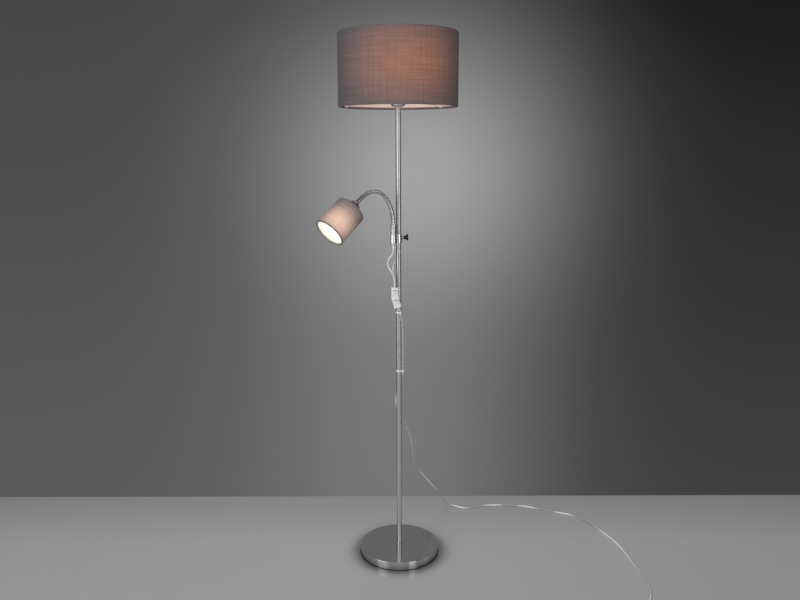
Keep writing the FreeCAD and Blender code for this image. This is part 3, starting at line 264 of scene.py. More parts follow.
class Tree:
    """A node tree under construction, of a material or of a shared group."""

    def __init__(self, tree: NodeTree) -> None:
        """Keeps the tree that nodes are added to."""
        self.tree = tree

    def add(self, kind: str, values: dict | None = None, **settings: object) -> Node:
        """Adds a node.

        Args:
            kind: Blender's name for the node.
            values: input name or number to a value or to the output that feeds it.
            **settings: the node's own options.

        Returns:
            The node.
        """
        node = self.tree.nodes.new(kind)
        for key, value in settings.items():
            setattr(node, key, value)
        for key, value in (values or {}).items():
            self.feed(node.inputs[key], value)
        return node

    def feed(self, socket: Socket, value: Value) -> None:
        """Links a value's output to the input, or writes the value into it.

        Args:
            socket: the input.
            value: another node's output, a number or a colour.
        """
        if isinstance(value, Socket):
            self.tree.links.new(value, socket)
        else:
            socket.default_value = value

    def effect(self, group: NodeTree, values: dict) -> Node:
        """Places a shared group.

        Args:
            group: the shader group.
            values: the group's inputs by name.

        Returns:
            The group node.
        """
        node = self.add("ShaderNodeGroup", node_tree=group)
        for label, value in values.items():
            self.feed(node.inputs[label], value)
        return node

    def maths(self, operation: str, *values: Value) -> Socket:
        """The output of a Math node with these inputs."""
        node = self.add("ShaderNodeMath", dict(enumerate(values)), operation=operation)
        return node.outputs[0]

    def plus(self, first: Value, second: Value) -> Socket:
        """First plus second."""
        return self.maths("ADD", first, second)

    def times(self, first: Value, second: Value) -> Socket:
        """First times second."""
        return self.maths("MULTIPLY", first, second)

    def square_sum(self, first: Value, second: Value) -> Socket:
        """First squared plus second squared."""
        return self.plus(self.times(first, first), self.times(second, second))

    def off(self, value: Value, middle: Value, width: Value) -> Socket:
        """How many widths a value lies off a middle."""
        return self.maths("DIVIDE", self.maths("SUBTRACT", value, middle), width)

    def bell(self, square: Value) -> Socket:
        """exp(-square), which falls off as a bell."""
        return self.maths("EXPONENT", self.times(square, -1.0))

    def blend(self, share: Value, first: Value, second: Value) -> Socket:
        """Colour mixed from first to second by share, on the node's colour inputs, 6 and 7."""
        node = self.add("ShaderNodeMix", {0: share, 6: first, 7: second}, data_type="RGBA")
        return node.outputs[2]

    def span(self, value: Value, low: Value, high: Value, from_low: float = 0.0,
             from_high: float = 1.0) -> Socket:
        """Value carried from from_low, from_high to low, high, and held at the ends."""
        ends = {"From Min": from_low, "From Max": from_high, "To Min": low, "To Max": high}
        return self.add("ShaderNodeMapRange", {"Value": value, **ends}).outputs[0]

    def noise(self, where: Value, scale: float, detail: float = 2.0) -> Socket:
        """The value of a noise texture at a place."""
        node = self.add("ShaderNodeTexNoise", {"Vector": where, "Scale": scale, "Detail": detail})
        return node.outputs["Fac"]

    def parts(self, where: Value) -> tuple[Socket, ...]:
        """The three parts of a vector."""
        return tuple(self.add("ShaderNodeSeparateXYZ", {0: where}).outputs)

    def joined(self, x: Value, y: Value, z: Value) -> Socket:
        """The vector of three parts."""
        return self.add("ShaderNodeCombineXYZ", {0: x, 1: y, 2: z}).outputs[0]


def shared_group(name: str, inputs: dict, outputs: dict) -> tuple[Tree, dict, Node]:
    """Starts a shader group.

    Args:
        name: its name.
        inputs: name to (socket type, default or None).
        outputs: name to socket type.

    Returns:
        The tree to add nodes to, its inputs by name, and its output node.
    """
    tree = bpy.data.node_groups.new(name, "ShaderNodeTree")
    for label, (kind, default) in inputs.items():
        socket = tree.interface.new_socket(name=label, in_out="INPUT", socket_type=kind)
        if default is not None:
            socket.default_value = default
    for label, kind in outputs.items():
        tree.interface.new_socket(name=label, in_out="OUTPUT", socket_type=kind)
    source, sink = tree.nodes.new("NodeGroupInput"), tree.nodes.new("NodeGroupOutput")
    return Tree(tree), {label: source.outputs[label] for label in inputs}, sink


FLOAT, VECTOR = "NodeSocketFloat", "NodeSocketVector"


class Effects:
    """Surface effects that several finishes share, each one shader group."""

    def __init__(self) -> None:
        """Builds the groups once."""
        self.clouds = self._clouds()
        self.brushing = self._brushing()
        self.weave = self._weave()
        self.glow = self._glow()

    @staticmethod
    def _clouds() -> NodeTree:
        """Soft patches between two values: noise at one scale, with a finer noise over it.

        Returns:
            The group.
        """
        finer, coarse_share, fine_share, contrast = 6.3, 0.7, 0.3, (0.3, 0.7)
        t, given, sink = shared_group(
            "patches", {"Vector": (VECTOR, None), "Scale": (FLOAT, 40.0), "Low": (FLOAT, 0.0),
                        "High": (FLOAT, 1.0)}, {"Value": FLOAT})
        where = t.add("ShaderNodeVectorMath", {0: given["Vector"], "Scale": given["Scale"]},
                      operation="SCALE").outputs[0]
        both = t.plus(t.times(t.noise(where, 1.0), coarse_share),
                      t.times(t.noise(where, finer), fine_share))
        t.feed(sink.inputs[0], t.span(both, given["Low"], given["High"], *contrast))
        return t.tree

    @staticmethod
    def _brushing() -> NodeTree:
        """Fine rings round the Z axis, as noise that changes fast with radius and height and
        slowly around, and a mask of the places that hands have left clean.

        Returns:
            The group.
        """
        handled, handled_detail, handled_edge = 9.0, 4.0, (0.35, 0.6)
        t, given, sink = shared_group(
            "brushed rings", {"Vector": (VECTOR, None), "Fineness": (FLOAT, 2500.0),
                              "Around": (FLOAT, 12.0)}, {"Value": FLOAT, "Clean": FLOAT})
        x, y, z = t.parts(given["Vector"])
        radius = t.maths("SQRT", t.square_sum(x, y))
        across = t.plus(t.times(radius, given["Fineness"]), t.times(z, given["Fineness"]))
        place = t.joined(across, t.times(x, given["Around"]), t.times(y, given["Around"]))
        t.feed(sink.inputs["Value"], t.noise(place, 1.0, detail=3.0))
        marks = t.noise(given["Vector"], handled, handled_detail)
        t.feed(sink.inputs["Clean"], t.span(marks, 0.0, 1.0, *handled_edge))
        return t.tree

    @staticmethod
    def _weave() -> NodeTree:
        """Plain weave with slubs. Threads are sines of the pattern's two coordinates, over and
        under where their product changes sign, and wander a little. A slub is noise drawn out along
        a thread: each row below is how fast it changes along u and v, and how strong it is.

        Returns:
            The group.
        """
        wander_scale, wander_turn = 60.0, 9.0
        slubs = ((14.0, 520.0, 0.85), (5.0, 170.0, 0.6), (420.0, 12.0, 0.4), (120.0, 5.0, 0.4))
        contrast = (0.25, 0.75)
        thread_shade, slub_shade, slub_height = 0.12, 0.5, 0.9
        t, given, sink = shared_group(
            "slub weave", {"Vector": (VECTOR, None), "Threads": (FLOAT, 1100.0),
                           "Slubs": (FLOAT, 1.0)}, {"Shade": FLOAT, "Height": FLOAT})
        u, v, _ = t.parts(given["Vector"])
        wander = t.times(t.noise(given["Vector"], wander_scale), wander_turn)
        turns = t.times(given["Threads"], TAU)
        warp, weft = (t.maths("SINE", t.plus(t.times(along, turns), wander)) for along in (u, v))
        over = t.times(warp, weft)
        total = 0.0
        for along_u, along_v, size in slubs:
            place = t.joined(t.times(u, along_u), t.times(v, along_v), along_u)
            total = t.plus(total, t.span(t.noise(place, 1.0), -size / 2, size / 2, *contrast))
        slub = t.times(total, given["Slubs"])
        shade = t.plus(t.times(over, thread_shade), t.times(slub, slub_shade))
        t.feed(sink.inputs["Shade"], t.plus(shade, 0.5))
        t.feed(sink.inputs["Height"], t.plus(over, t.times(slub, slub_height)))
        return t.tree

    @staticmethod
    def _glow() -> NodeTree:
        """Painted light of the bulb in a shade's wall, given off as emission: exp(-((z - middle) /
        spread)^2), times a share that is 1 at the front and back and falls to Sides between, as
        |cos(azimuth)| to a power, so that front and back are painted brighter than the sides.

        Returns:
            The group.
        """
        on_axis = 1e-4
        t, given, sink = shared_group(
            "bulb glow", {"Vector": (VECTOR, None), "Middle": (FLOAT, 0.1), "Spread": (FLOAT, 0.1),
                          "Sides": (FLOAT, 0.3), "Power": (FLOAT, 2.0)}, {"Value": FLOAT})
        x, y, z = t.parts(given["Vector"])
        height = t.off(z, given["Middle"], given["Spread"])
        fall = t.bell(t.times(height, height))
        radius = t.maths("MAXIMUM", t.maths("SQRT", t.square_sum(x, y)), on_axis)
        facing = t.maths("POWER", t.maths("ABSOLUTE", t.maths("DIVIDE", x, radius)),
                         given["Power"])
        t.feed(sink.inputs[0], t.times(fall, t.span(facing, given["Sides"], 1.0)))
        return t.tree


EFFECTS = Effects()


def start_material(name: str) -> tuple[Material, Tree, Node, Socket]:
    """Starts a node material.

    Args:
        name: the material's name.

    Returns:
        The material, its tree, its Principled shader and the Object coordinates.
    """
    material = bpy.data.materials.new(name)
    material.use_nodes = True
    tree = Tree(material.node_tree)
    shader = material.node_tree.nodes["Principled BSDF"]
    where = tree.add("ShaderNodeTexCoord").outputs["Object"]
    return material, tree, shader, where


def rgba(colour: Colour, scale: float = 1.0) -> tuple[float, float, float, float]:
    """A colour with full opacity, made lighter or darker by scale."""
    return tuple(min(c * scale, 1.0) for c in colour) + (1.0,)


def grey(level: float) -> tuple[float, float, float, float]:
    """A grey with full opacity."""
    return level, level, level, 1.0


def bump(t: Tree, shader: Node, height: Socket, depth: float) -> None:
    """Feeds the shader's normal with a height, whose full range is depth metres."""
    node = t.add("ShaderNodeBump", {"Height": height, "Distance": depth, "Strength": 1.0})
    t.feed(shader.inputs["Normal"], node.outputs[0])


def plain(shader: Node, values: dict[str, float]) -> None:
    """Sets what is the same all over a surface on the shader's own inputs."""
    for label, value in values.items():
        shader.inputs[label].default_value = value


@dataclass(frozen=True)
class Metal:
    """Bare or plated metal.

    Attributes:
        colour: its reflection colour.
        roughness: at clean places.
        worn: how much rougher its handled patches are.
        direction: how it is brushed.
        anisotropy: how far its highlights draw out across the brushing.
        grain: height of the brushing or of the cast skin, in metres.
        mottle: how much lighter and darker its patches are.
    """

    colour: Colour
    roughness: float
    worn: float = 0.06
    direction: Direction = Direction.NONE
    anisotropy: float = 0.0
    grain: float = 0.0
    mottle: float = 0.04

    def material(self, name: str) -> Material:
        """Builds the material.

        Args:
            name: its name.

        Returns:
            The material.
        """
        patch_scale, skin_scale = 30.0, 900.0
        ring_share, ring_tone, unclean, quarter_turn = 0.3, 0.7, 0.05, 0.25
        made, t, shader, where = start_material(name)
        plain(shader, {"Metallic": 1.0})
        patches = t.effect(EFFECTS.clouds, {"Vector": where, "Scale": patch_scale}).outputs[0]
        colour = t.blend(patches, rgba(self.colour, 1 - self.mottle),
                         rgba(self.colour, 1 + self.mottle))
        rough = t.span(patches, self.roughness, self.roughness + self.worn)
        if self.direction is Direction.AROUND:
            brushed = t.effect(EFFECTS.brushing, {"Vector": where})
            rings = brushed.outputs["Value"]
            colour = t.blend(t.times(rings, ring_share), colour, rgba(self.colour, ring_tone))
            rough = t.plus(rough, t.span(brushed.outputs["Clean"], unclean, 0.0))
            bump(t, shader, rings, self.grain)
            plain(shader, {"Anisotropic": self.anisotropy, "Anisotropic Rotation": quarter_turn})
            tangent = t.add("ShaderNodeTangent", direction_type="RADIAL", axis="Z")
            t.feed(shader.inputs["Tangent"], tangent.outputs[0])
        elif self.grain:
            bump(t, shader, t.noise(where, skin_scale, detail=3.0), self.grain)
        t.feed(shader.inputs["Base Color"], colour)
        t.feed(shader.inputs["Roughness"], rough)
        return made


@dataclass(frozen=True)
class Moulded:
    """Moulded plastic, rubber, paint or cast skin.

    Attributes:
        colour: base colour.
        roughness: at smooth places.
        pores: height of the mould's grain, in metres.
        grain_scale: how fine that grain is.
        coat: share of a clear gloss over it.
        clear: how much light passes through.
        glow: strength of its own light.
        cover: opacity of its clear stretches and of its milky ones, which follow each other along
        X as a sine wave does. The milky stretches are partly the jacket lying close on its wires and
        partly painted highlight, standing in for the glints along a clear cord.
        stretch: from one milky stretch to the next, in metres.
        phase: where the wave starts.
    """

    colour: Colour
    roughness: float
    pores: float = 0.00002
    grain_scale: float = 1800.0
    coat: float = 0.0
    clear: float = 0.0
    glow: float = 0.0
    cover: tuple[float, float] = (1.0, 1.0)
    stretch: float = 0.12
    phase: float = 0.065

    def material(self, name: str) -> Material:
        """Builds the material.

        Args:
            name: its name.

        Returns:
            The material.
        """
        patch_scale, darker, lighter, rougher = 55.0, 0.93, 1.05, 0.1
        glow_darker, milky = 0.9, (-0.5, 0.8)
        made, t, shader, where = start_material(name)
        patches = t.effect(EFFECTS.clouds, {"Vector": where, "Scale": patch_scale}).outputs[0]
        t.feed(shader.inputs["Base Color"],
               t.blend(patches, rgba(self.colour, darker), rgba(self.colour, lighter)))
        t.feed(shader.inputs["Roughness"],
               t.span(patches, self.roughness, self.roughness + rougher))
        bump(t, shader, t.noise(where, self.grain_scale, detail=3.0), self.pores)
        plain(shader, {"Coat Weight": self.coat, "Coat Roughness": 0.08,
                       "Transmission Weight": self.clear, "IOR": 1.5})
        # Milky stretches, partly painted highlight for the cord's glints.
        if min(self.cover) < 1.0:
            run = t.maths("SUBTRACT", t.parts(where)[0], self.phase)
            wave = t.maths("SINE", t.times(run, TAU / self.stretch))
            t.feed(shader.inputs["Alpha"], t.span(wave, *self.cover, *milky))
        if self.glow:
            t.feed(shader.inputs["Emission Color"],
                   t.blend(patches, rgba(self.colour, glow_darker), rgba(self.colour)))
            plain(shader, {"Emission Strength": self.glow})
        return made


@dataclass(frozen=True)
class Glow:
    """Painted light of a bulb in the wall of a shade, given off by the wall as emission.

    Attributes:
        place: the shade's frame, with x towards the front.
        middle: height of the bulb in that frame, in metres.
        spread: how far up and down the light reaches.
        sides: its share at the left and right.
        power: how fast it falls from the front to the sides.
        colour: of the light that comes through.
        strength: at its brightest.
    """

    place: Place
    middle: float
    spread: float
    sides: float
    power: float
    colour: Colour
    strength: float = 1.0

    def mask(self, t: Tree, where: Socket) -> Socket:
        """The glow's share at each point of the wall.

        Args:
            t: the wall's material.
            where: its Object coordinates.

        Returns:
            The share, from 0 to 1.
        """
        back = self.place.matrix().inverted()
        local = t.add("ShaderNodeMapping", {"Vector": where}, vector_type="POINT")
        local.inputs["Location"].default_value = back.to_translation()
        local.inputs["Rotation"].default_value = back.to_euler("XYZ")
        values = {"Vector": local.outputs[0], "Middle": self.middle, "Spread": self.spread,
                  "Sides": self.sides, "Power": self.power}
        return t.effect(EFFECTS.glow, values).outputs[0]

    def light(self, t: Tree, shader: Node, mask: Socket, dark: float) -> None:
        """Makes the wall shine with painted light where the mask is, and by a dark grey elsewhere.
        """
        t.feed(shader.inputs["Emission Color"], t.blend(mask, grey(dark), rgba(self.colour)))
        plain(shader, {"Emission Strength": self.strength})


@dataclass(frozen=True)
class Cloth:
    """Slub-woven linen with a bulb behind it.

    Attributes:
        dark: colour of the thread in the hollows.
        light: colour of the raised thread.
        glow: the bulb's painted light in it.
        rim: width of the hem, where cloth lies double, in metres.
        hem: share of the bulb's light that comes through there.
        length: of the wall from rim to rim, in metres.
        slubs: how strong they are.
        threads: per metre.
    """

    dark: Colour
    light: Colour
    glow: Glow
    rim: float
    hem: float
    length: float
    slubs: float = 1.0
    threads: float = 1300.0

    def material(self, name: str) -> Material:
        """Builds the material.

        Args:
            name: its name.

        Returns:
            The material.
        """
        relief, hem_edge = 0.00012, (0.9, 1.15)
        thin_light, thick_light, thin, thick = 0.75, 1.25, 0.2, 0.8
        made, t, shader, where = start_material(name)
        surface = t.add("ShaderNodeUVMap", uv_map=PATTERN).outputs[0]
        weave = t.effect(EFFECTS.weave, {"Vector": surface, "Threads": self.threads,
                                         "Slubs": self.slubs})
        shade = weave.outputs["Shade"]
        t.feed(shader.inputs["Base Color"], t.blend(shade, rgba(self.dark), rgba(self.light)))
        plain(shader, {"Roughness": 0.9, "Sheen Weight": 0.04, "Sheen Roughness": 0.5,
                       "Specular IOR Level": 0.1})
        bump(t, shader, weave.outputs["Height"], relief)
        along = t.parts(surface)[1]
        from_rim = t.maths("MINIMUM", along, t.maths("SUBTRACT", self.length, along))
        single = t.span(from_rim, self.hem, 1.0, *(self.rim * edge for edge in hem_edge))
        # Painted light: the bulb's light through the cloth, weaker where the hem lies double.
        mask = t.times(self.glow.mask(t, where), single)
        mask = t.times(mask, t.span(shade, thin_light, thick_light, thin, thick))
        self.glow.light(t, shader, mask, 0.0)
        return made


@dataclass(frozen=True)
class Lining:
    """White lining sheet, with the bulb's light on it painted as emission.

    Attributes:
        colour: of the sheet.
        glow: the bulb's painted light in it.
    """

    colour: Colour
    glow: Glow

    def material(self, name: str) -> Material:
        """Builds the material.

        Args:
            name: its name.

        Returns:
            The material.
        """
        grain_scale, grain_depth, darker, lighter, dimmest = 1500.0, 0.00002, 0.95, 1.03, 0.02
        made, t, shader, where = start_material(name)
        grain = t.noise(where, grain_scale)
        t.feed(shader.inputs["Base Color"],
               t.blend(grain, rgba(self.colour, darker), rgba(self.colour, lighter)))
        plain(shader, {"Roughness": 0.55})
        bump(t, shader, grain, grain_depth)
        self.glow.light(t, shader, self.glow.mask(t, where), dimmest)
        return made


@dataclass(frozen=True)
class Finishes:
    """Every plain finish on the lamp. Each starts with its colour and roughness, and then has a
    metal's wear or a moulding's pores and their scale."""

    nickel: Metal = Metal((0.60, 0.598, 0.592), 0.28, 0.04, Direction.AROUND, anisotropy=0.6,
                          grain=0.0000007, mottle=0.03)
    foot: Metal = Metal((0.66, 0.658, 0.652), 0.18, 0.04, Direction.AROUND, anisotropy=0.75,
                        grain=0.000002)
    chrome: Metal = Metal((0.80, 0.80, 0.81), 0.07)
    hose: Metal = Metal((0.72, 0.72, 0.73), 0.17, 0.04)
    zinc: Metal = Metal((0.62, 0.62, 0.6), 0.35, 0.15, grain=0.00003, mottle=0.12)
    brass: Metal = Metal((0.78, 0.6, 0.3), 0.25, 0.15, mottle=0.1)
    wire_white: Moulded = Moulded((0.80, 0.78, 0.74), 0.35, 0.00001, 700.0, coat=0.2)
    ballast: Moulded = Moulded((0.10, 0.10, 0.10), 0.8, 0.0005, 350.0)
    foam: Moulded = Moulded((0.03, 0.03, 0.03), 0.95, 0.0003, 1200.0)
    black: Moulded = Moulded((0.02, 0.02, 0.021), 0.35, 0.00004, 2200.0, coat=0.1)
    white: Moulded = Moulded((0.74, 0.73, 0.7), 0.35)
    housing: Moulded = Moulded((0.93, 0.93, 0.92), 0.25, 0.000003, 500.0, coat=0.4, clear=0.05)
    jacket: Moulded = Moulded((0.95, 0.95, 0.94), 0.15, 0.000003, 400.0, coat=0.4, clear=0.28)
    clear_jacket: Moulded = Moulded((0.97, 0.97, 0.96), 0.12, 0.000003, 400.0, coat=0.4,
                                    cover=(0.2, 0.92))
    core: Moulded = Moulded((0.85, 0.84, 0.82), 0.4, 0.00001, 500.0)
    grey_core: Moulded = Moulded((0.3, 0.3, 0.3), 0.4, 0.00001, 500.0)
    opal: Moulded = Moulded((1.0, 0.93, 0.83), 0.25, 0.000005, 300.0, coat=0.3, glow=4.0)


# Sizes that several sub-assemblies share

SHADE_BOTTOM = Place(np.array([0.0, 0.0, 1390.0]), np.eye(3))
CLAMP = Place(np.array([0.0, 0.0, 1005.5]), turn_about("z", 40.3))


# Gooseneck and shade cloths


@dataclass(frozen=True)
class Gooseneck:
    """Ribbed steel hose from the clamp to the reading light's head, drawn in the clamp's frame.

    Attributes:
        radius: of the hose.
        offset: of the hose's axis from the pole's axis.
        rise: of the hose's first link above the clamp's middle.
        link: length of one link along its arc.
        turns: how far each link bends, in degrees.
        seat: how deep the hose stands in the ferrule.
        top: how far it reaches into the ring nut.
        pitch: from rib to rib.
        depth: of the grooves.
        give: how far on each side of a joint the ends of its bend are worked out; nothing uses them.
        bodies: what the links ride on; only the first and the last are used, by the end pieces.
    """

    radius: float = 6.0
    offset: float = 20.6
    rise: float = 43.0
    link: float = 34.3
    turns: tuple[float, ...] = (15.0, 14.0, 29.0, 30.8, 32.6, 7.8)
    seat: float = 9.0
    top: float = 3.5
    pitch: float = 1.9
    depth: float = 0.06
    give: float = 11.0
    bodies: tuple[str, ...] = ("clamp", "link_2", "link_3", "link_4", "link_5", "head")

    def line(self, distance: Array) -> tuple[Array, Array]:
        """Points and directions on the hose's axis. Each link is an arc of length link that turns
        by its own angle, and each starts where the last one ends.

        Args:
            distance: along the axis from the ferrule's rim, in millimetres.

        Returns:
            n by 3 points and n by 3 unit directions, in the lamp's frame.
        """
        turns = np.radians(self.turns)
        starts = math.pi / 2 - np.r_[0, np.cumsum(turns)]
        bend = self.link / turns
        steps = np.stack([-bend * (np.sin(starts[:-1]) - np.sin(starts[1:])), 0 * bend,
                          bend * (np.cos(starts[1:]) - np.cos(starts[:-1]))], 1)
        first_corner = np.array([-self.offset, 0, self.rise])
        corners = first_corner + np.r_[np.zeros((1, 3)), np.cumsum(steps, 0)]
        which = np.clip((distance / self.link).astype(int), 0, len(turns) - 1)
        inside = np.clip(distance - which * self.link, 0, self.link)
        beyond = distance - which * self.link - inside
        first, r = starts[which], bend[which]
        angle = first - inside / r
        point = corners[which] + np.stack([-r * (np.sin(first) - np.sin(angle)), 0 * r,
                                           r * (np.cos(angle) - np.cos(first))], 1)
        heading = np.stack([-np.cos(angle), 0 * angle, np.sin(angle)], 1)
        return CLAMP.out(point + beyond[:, None] * heading), heading @ CLAMP.turn.T

    def end(self) -> Place:
        """Frame of the reading light's head, its Z along the last link."""
        point, _ = self.line(np.array([self.link * len(self.turns)]))
        return Place(point[0], CLAMP.turn @ turn_about("y", -sum(self.turns)))

    def build(self, steel: Material) -> list[Piece]:
        """Makes the hose in pieces that meet in the middle of each link; the end pieces ride on the
        clamp and the head.

        The skin is radius - depth * g^3, where g = (1 + cos(2 pi distance / pitch - a)) / 2 and a
        goes round the hose, so one groove winds along the whole hose.

        Args:
            steel: the hose's finish.

        Returns:
            The pieces.
        """
        sides, rows_per_rib, fewest_rows, crisp = 28, 8, 4, 50.0
        last = len(self.turns)
        middles = [self.link * (k + 0.5) for k in range(last)]
        cuts = [-self.seat, *middles, self.link * last + self.top]
        angle = np.linspace(0, TAU, sides, endpoint=False)
        side = CLAMP.turn[:, 1]
        made = []
        for k, (low, high) in enumerate(zip(cuts, cuts[1:])):
            rows = max(int((high - low) / self.pitch * rows_per_rib), fewest_rows)
            distance = np.linspace(low, high, rows)
            point, heading = self.line(distance)
            groove = (1 + np.cos(TAU * (distance[:, None] / self.pitch) - angle[None, :])) / 2
            radius = self.radius - self.depth * groove ** 3
            ring = ring_directions(np.cross(heading, side), side, angle)
            skin = capped(point[:, None] + radius[..., None] * ring, point)
            piece = mesh_piece(f"gooseneck_{k}", skin.reshape(-1, 3),
                               grid_faces(rows + 2, sides, False, True), steel, sharp=crisp)
            if k in (0, last):
                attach(piece, self.bodies[min(k, last - 1)])
            else:
                joint = k * self.link
                ends, _ = self.line(np.array([joint - self.give, joint + self.give]))
                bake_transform(piece)
            if k < last:
                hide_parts(f"neck_link_{k + 1}")
            made.append(piece)
        return made


NECK = Gooseneck()
HEAD = NECK.end()


@dataclass(frozen=True)
class DrumShade:
    """Cloth of a drum shade, folded round a wire ring at each rim.

    Attributes:
        prefix: what its nodes' names start with.
        body: what it rides on.
        place: frame with the shade's axis as Z and its first rim at z = 0.
        low: diameter at that rim.
        high: diameter at the other one.
        height: from rim to rim.
        wire: thickness of the rings and of the fitter's arms.
        fabric: thickness of the cloth.
        arms: azimuths of the fitter's arms, in degrees, at the first rim.
        seam: azimuth of the seam, in degrees.
        hem: how far the hem reaches past the wire's middle.
        gap: between cloth and wire.
        lap: half the width of the seam.
        notch: width of the hem's cut-out each side of an arm, in arms' thicknesses.
    """

    prefix: str
    body: str
    place: Place
    low: float
    high: float
    height: float
    wire: float
    fabric: float
    arms: tuple[float, ...]
    seam: float
    hem: float = 3.6
    gap: float = 0.25
    lap: float = 6.0
    notch: float = 1.1

    def profile(self) -> tuple[Array, Array, Array]:
        """Closed cross-section of the cloth: up the wall's outside from the first rim, round the
        other rim's wire and down the inside. Each fold is a half circle round the wire.

        Returns:
            Radius, height and hem share of each point. The share is 1 at the free edge of the hem
            on the first rim, which is cut back at the fitter's arms, and 0 elsewhere.
        """
        fold_points, wall_points = 13, 60
        fold = self.fabric + self.wire / 2 + self.gap
        thin = fold - self.fabric
        slope = (self.high - self.low) / 2 / self.height
        low, high = fold, self.height - fold
        low_fold, high_fold = (self.low / 2 + slope * level - fold for level in (low, high))
        turn = np.linspace(0, math.pi, fold_points)
        wall = np.linspace(low, high, wall_points)
        outer = self.low / 2 + slope * wall

        def arc(middle: float, level: float, r: float, a: Array) -> tuple[Array, Array, Array]:
            """A stretch of a circle: middle + r cos a and level + r sin a."""
            return middle + r * np.cos(a), level + r * np.sin(a), 0 * a

        parts = [
            (outer, wall, 0 * wall),
            arc(high_fold, high, fold, turn[1:]),
            (high_fold - np.array([fold, thin]), np.full(2, high - self.hem), np.zeros(2)),
            arc(high_fold, high, thin, turn[::-1]),
            ((outer - self.fabric)[::-1][1:-1], wall[::-1][1:-1], 0 * wall[1:-1]),
            arc(low_fold, low, thin, -turn),
            (low_fold - np.array([thin, fold]), np.full(2, low + self.hem), np.ones(2)),
            arc(low_fold, low, fold, -turn[::-1][:-1]),
        ]
        return tuple(np.concatenate([part[k] for part in parts]) for k in range(3))

    def near(self, angle: Array, azimuth: float, width: float) -> Array:
        """Nearness to an azimuth: 1 / (1 + (distance round the wall / width)^8).

        Args:
            angle: where round the wall, in radians.
            azimuth: in degrees.
            width: distance at which it is a half, in millimetres.

        Returns:
            One share for each angle.
        """
        mean = (self.low + self.high) / 4
        away = np.radians(half_turn(np.degrees(angle) - azimuth)) * mean
        return 1 / (1 + (away / width) ** 8)

    def build(self, material: Material) -> Piece:
        """Turns the cross-section round the axis: each point is (r cos a, r sin a, z). In the seam
        the cloth overlaps, so r is larger by half its thickness, and z pulls the hem back by each
        arm. The first column of points is doubled, so that the pattern closes in one seam.

        Args:
            material: the cloth's finish.

        Returns:
            The cloth.
        """
        columns, cut_back = 288, 0.98
        radius, level, free = self.profile()
        angle = np.linspace(0, TAU, columns, endpoint=False)
        mean = (self.low + self.high) / 4
        seam = 0.5 * self.fabric * self.near(angle, self.seam, self.lap)
        keep = np.ones(columns)
        for arm in self.arms:
            keep *= 1 - self.near(angle, arm, self.wire * self.notch)
        outside = radius > mean - self.wire / 2
        r = radius[:, None] + seam * outside[:, None]
        z = level[:, None] - free[:, None] * self.hem * (1 - keep) * cut_back
        skin = np.stack([r * np.cos(angle), r * np.sin(angle), z], -1)
        uv = np.stack(np.broadcast_arrays(angle * mean * MM, level[:, None] * MM), -1)
        once_round = np.array([TAU * mean * MM, 0.0])
        skin = np.concatenate([skin, skin[:, :1]], 1)
        uv = np.concatenate([uv, uv[:, :1] + once_round], 1)
        faces = grid_faces(len(skin), columns + 1, True, False)
        cloth = mesh_piece(f"{self.prefix}_shade_cloth", self.place.out(skin.reshape(-1, 3)), faces,
                           material, uv.reshape(-1, 2))
        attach(cloth, self.body)
        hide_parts(f"{self.prefix}_shade_fabric")
        return cloth


# Cords


@dataclass(frozen=True)
class Cord:
    """A round mains cord.

    Attributes:
        name: of the piece.
        node: the frame's cord node that it stands for.
        points: its route's control points, in millimetres.
        length: its real length, in millimetres; not used.
        diameter: outside.
        lay_length: in which its wires go once round each other.
        wire_middle: how far a wire's middle is off the cord's, as a share of the diameter.
        wire_radius: of a sheathed wire, as a share of the diameter.
    """

    name: str
    node: str
    points: tuple[Point, ...]
    length: float
    diameter: float = 5.5
    lay_length: float = 60.0
    wire_middle: float = 0.22
    wire_radius: float = 0.19

    def curve(self) -> Piece:
        """The route as one smooth open spline with the points as its control points.

        Returns:
            The curve, in the scene.
        """
        data = bpy.data.curves.new(self.name, "CURVE")
        data.dimensions = "3D"
        spline = data.splines.new("NURBS")
        spline.points.add(len(self.points) - 1)
        places = np.c_[np.array(self.points) * MM, np.ones(len(self.points))]
        spline.points.foreach_set("co", places.ravel())
        spline.order_u = 3
        spline.use_endpoint_u = True
        data.resolution_u = 8
        route = bpy.data.objects.new(self.name, data)
        bpy.context.scene.collection.objects.link(route)
        return route

    def line(self, route: Piece) -> Array:
        """Points along the spline.

        Args:
            route: the curve.

        Returns:
            n by 3 points in millimetres.
        """
        bpy.context.view_layer.update()
        mesh = bpy.data.meshes.new_from_object(route)
        points = np.empty(len(mesh.vertices) * 3)
        mesh.vertices.foreach_get("co", points)
        bpy.data.meshes.remove(mesh)
        return points.reshape(-1, 3) / MM

    def cores(self, name: str, line: Array, material: Material) -> list[Piece]:
        """Two sheathed wires in the jacket, opposite each other, whose middles wind round the line.

        Args:
            name: what the pieces' names start with.
            line: the cord's middle line, in millimetres.
            material: the wires' finish.

        Returns:
            The two wires.
        """
        sides, off = 8, self.diameter * self.wire_middle
        made = []
        for k in range(2):
            phase = TAU * run_along(line) / self.lay_length + math.pi * k
            made.append(swept(f"{name}_core_{k + 1}", line, self.diameter * self.wire_radius,
                              material, sides, (off * np.cos(phase), off * np.sin(phase))))
        return made


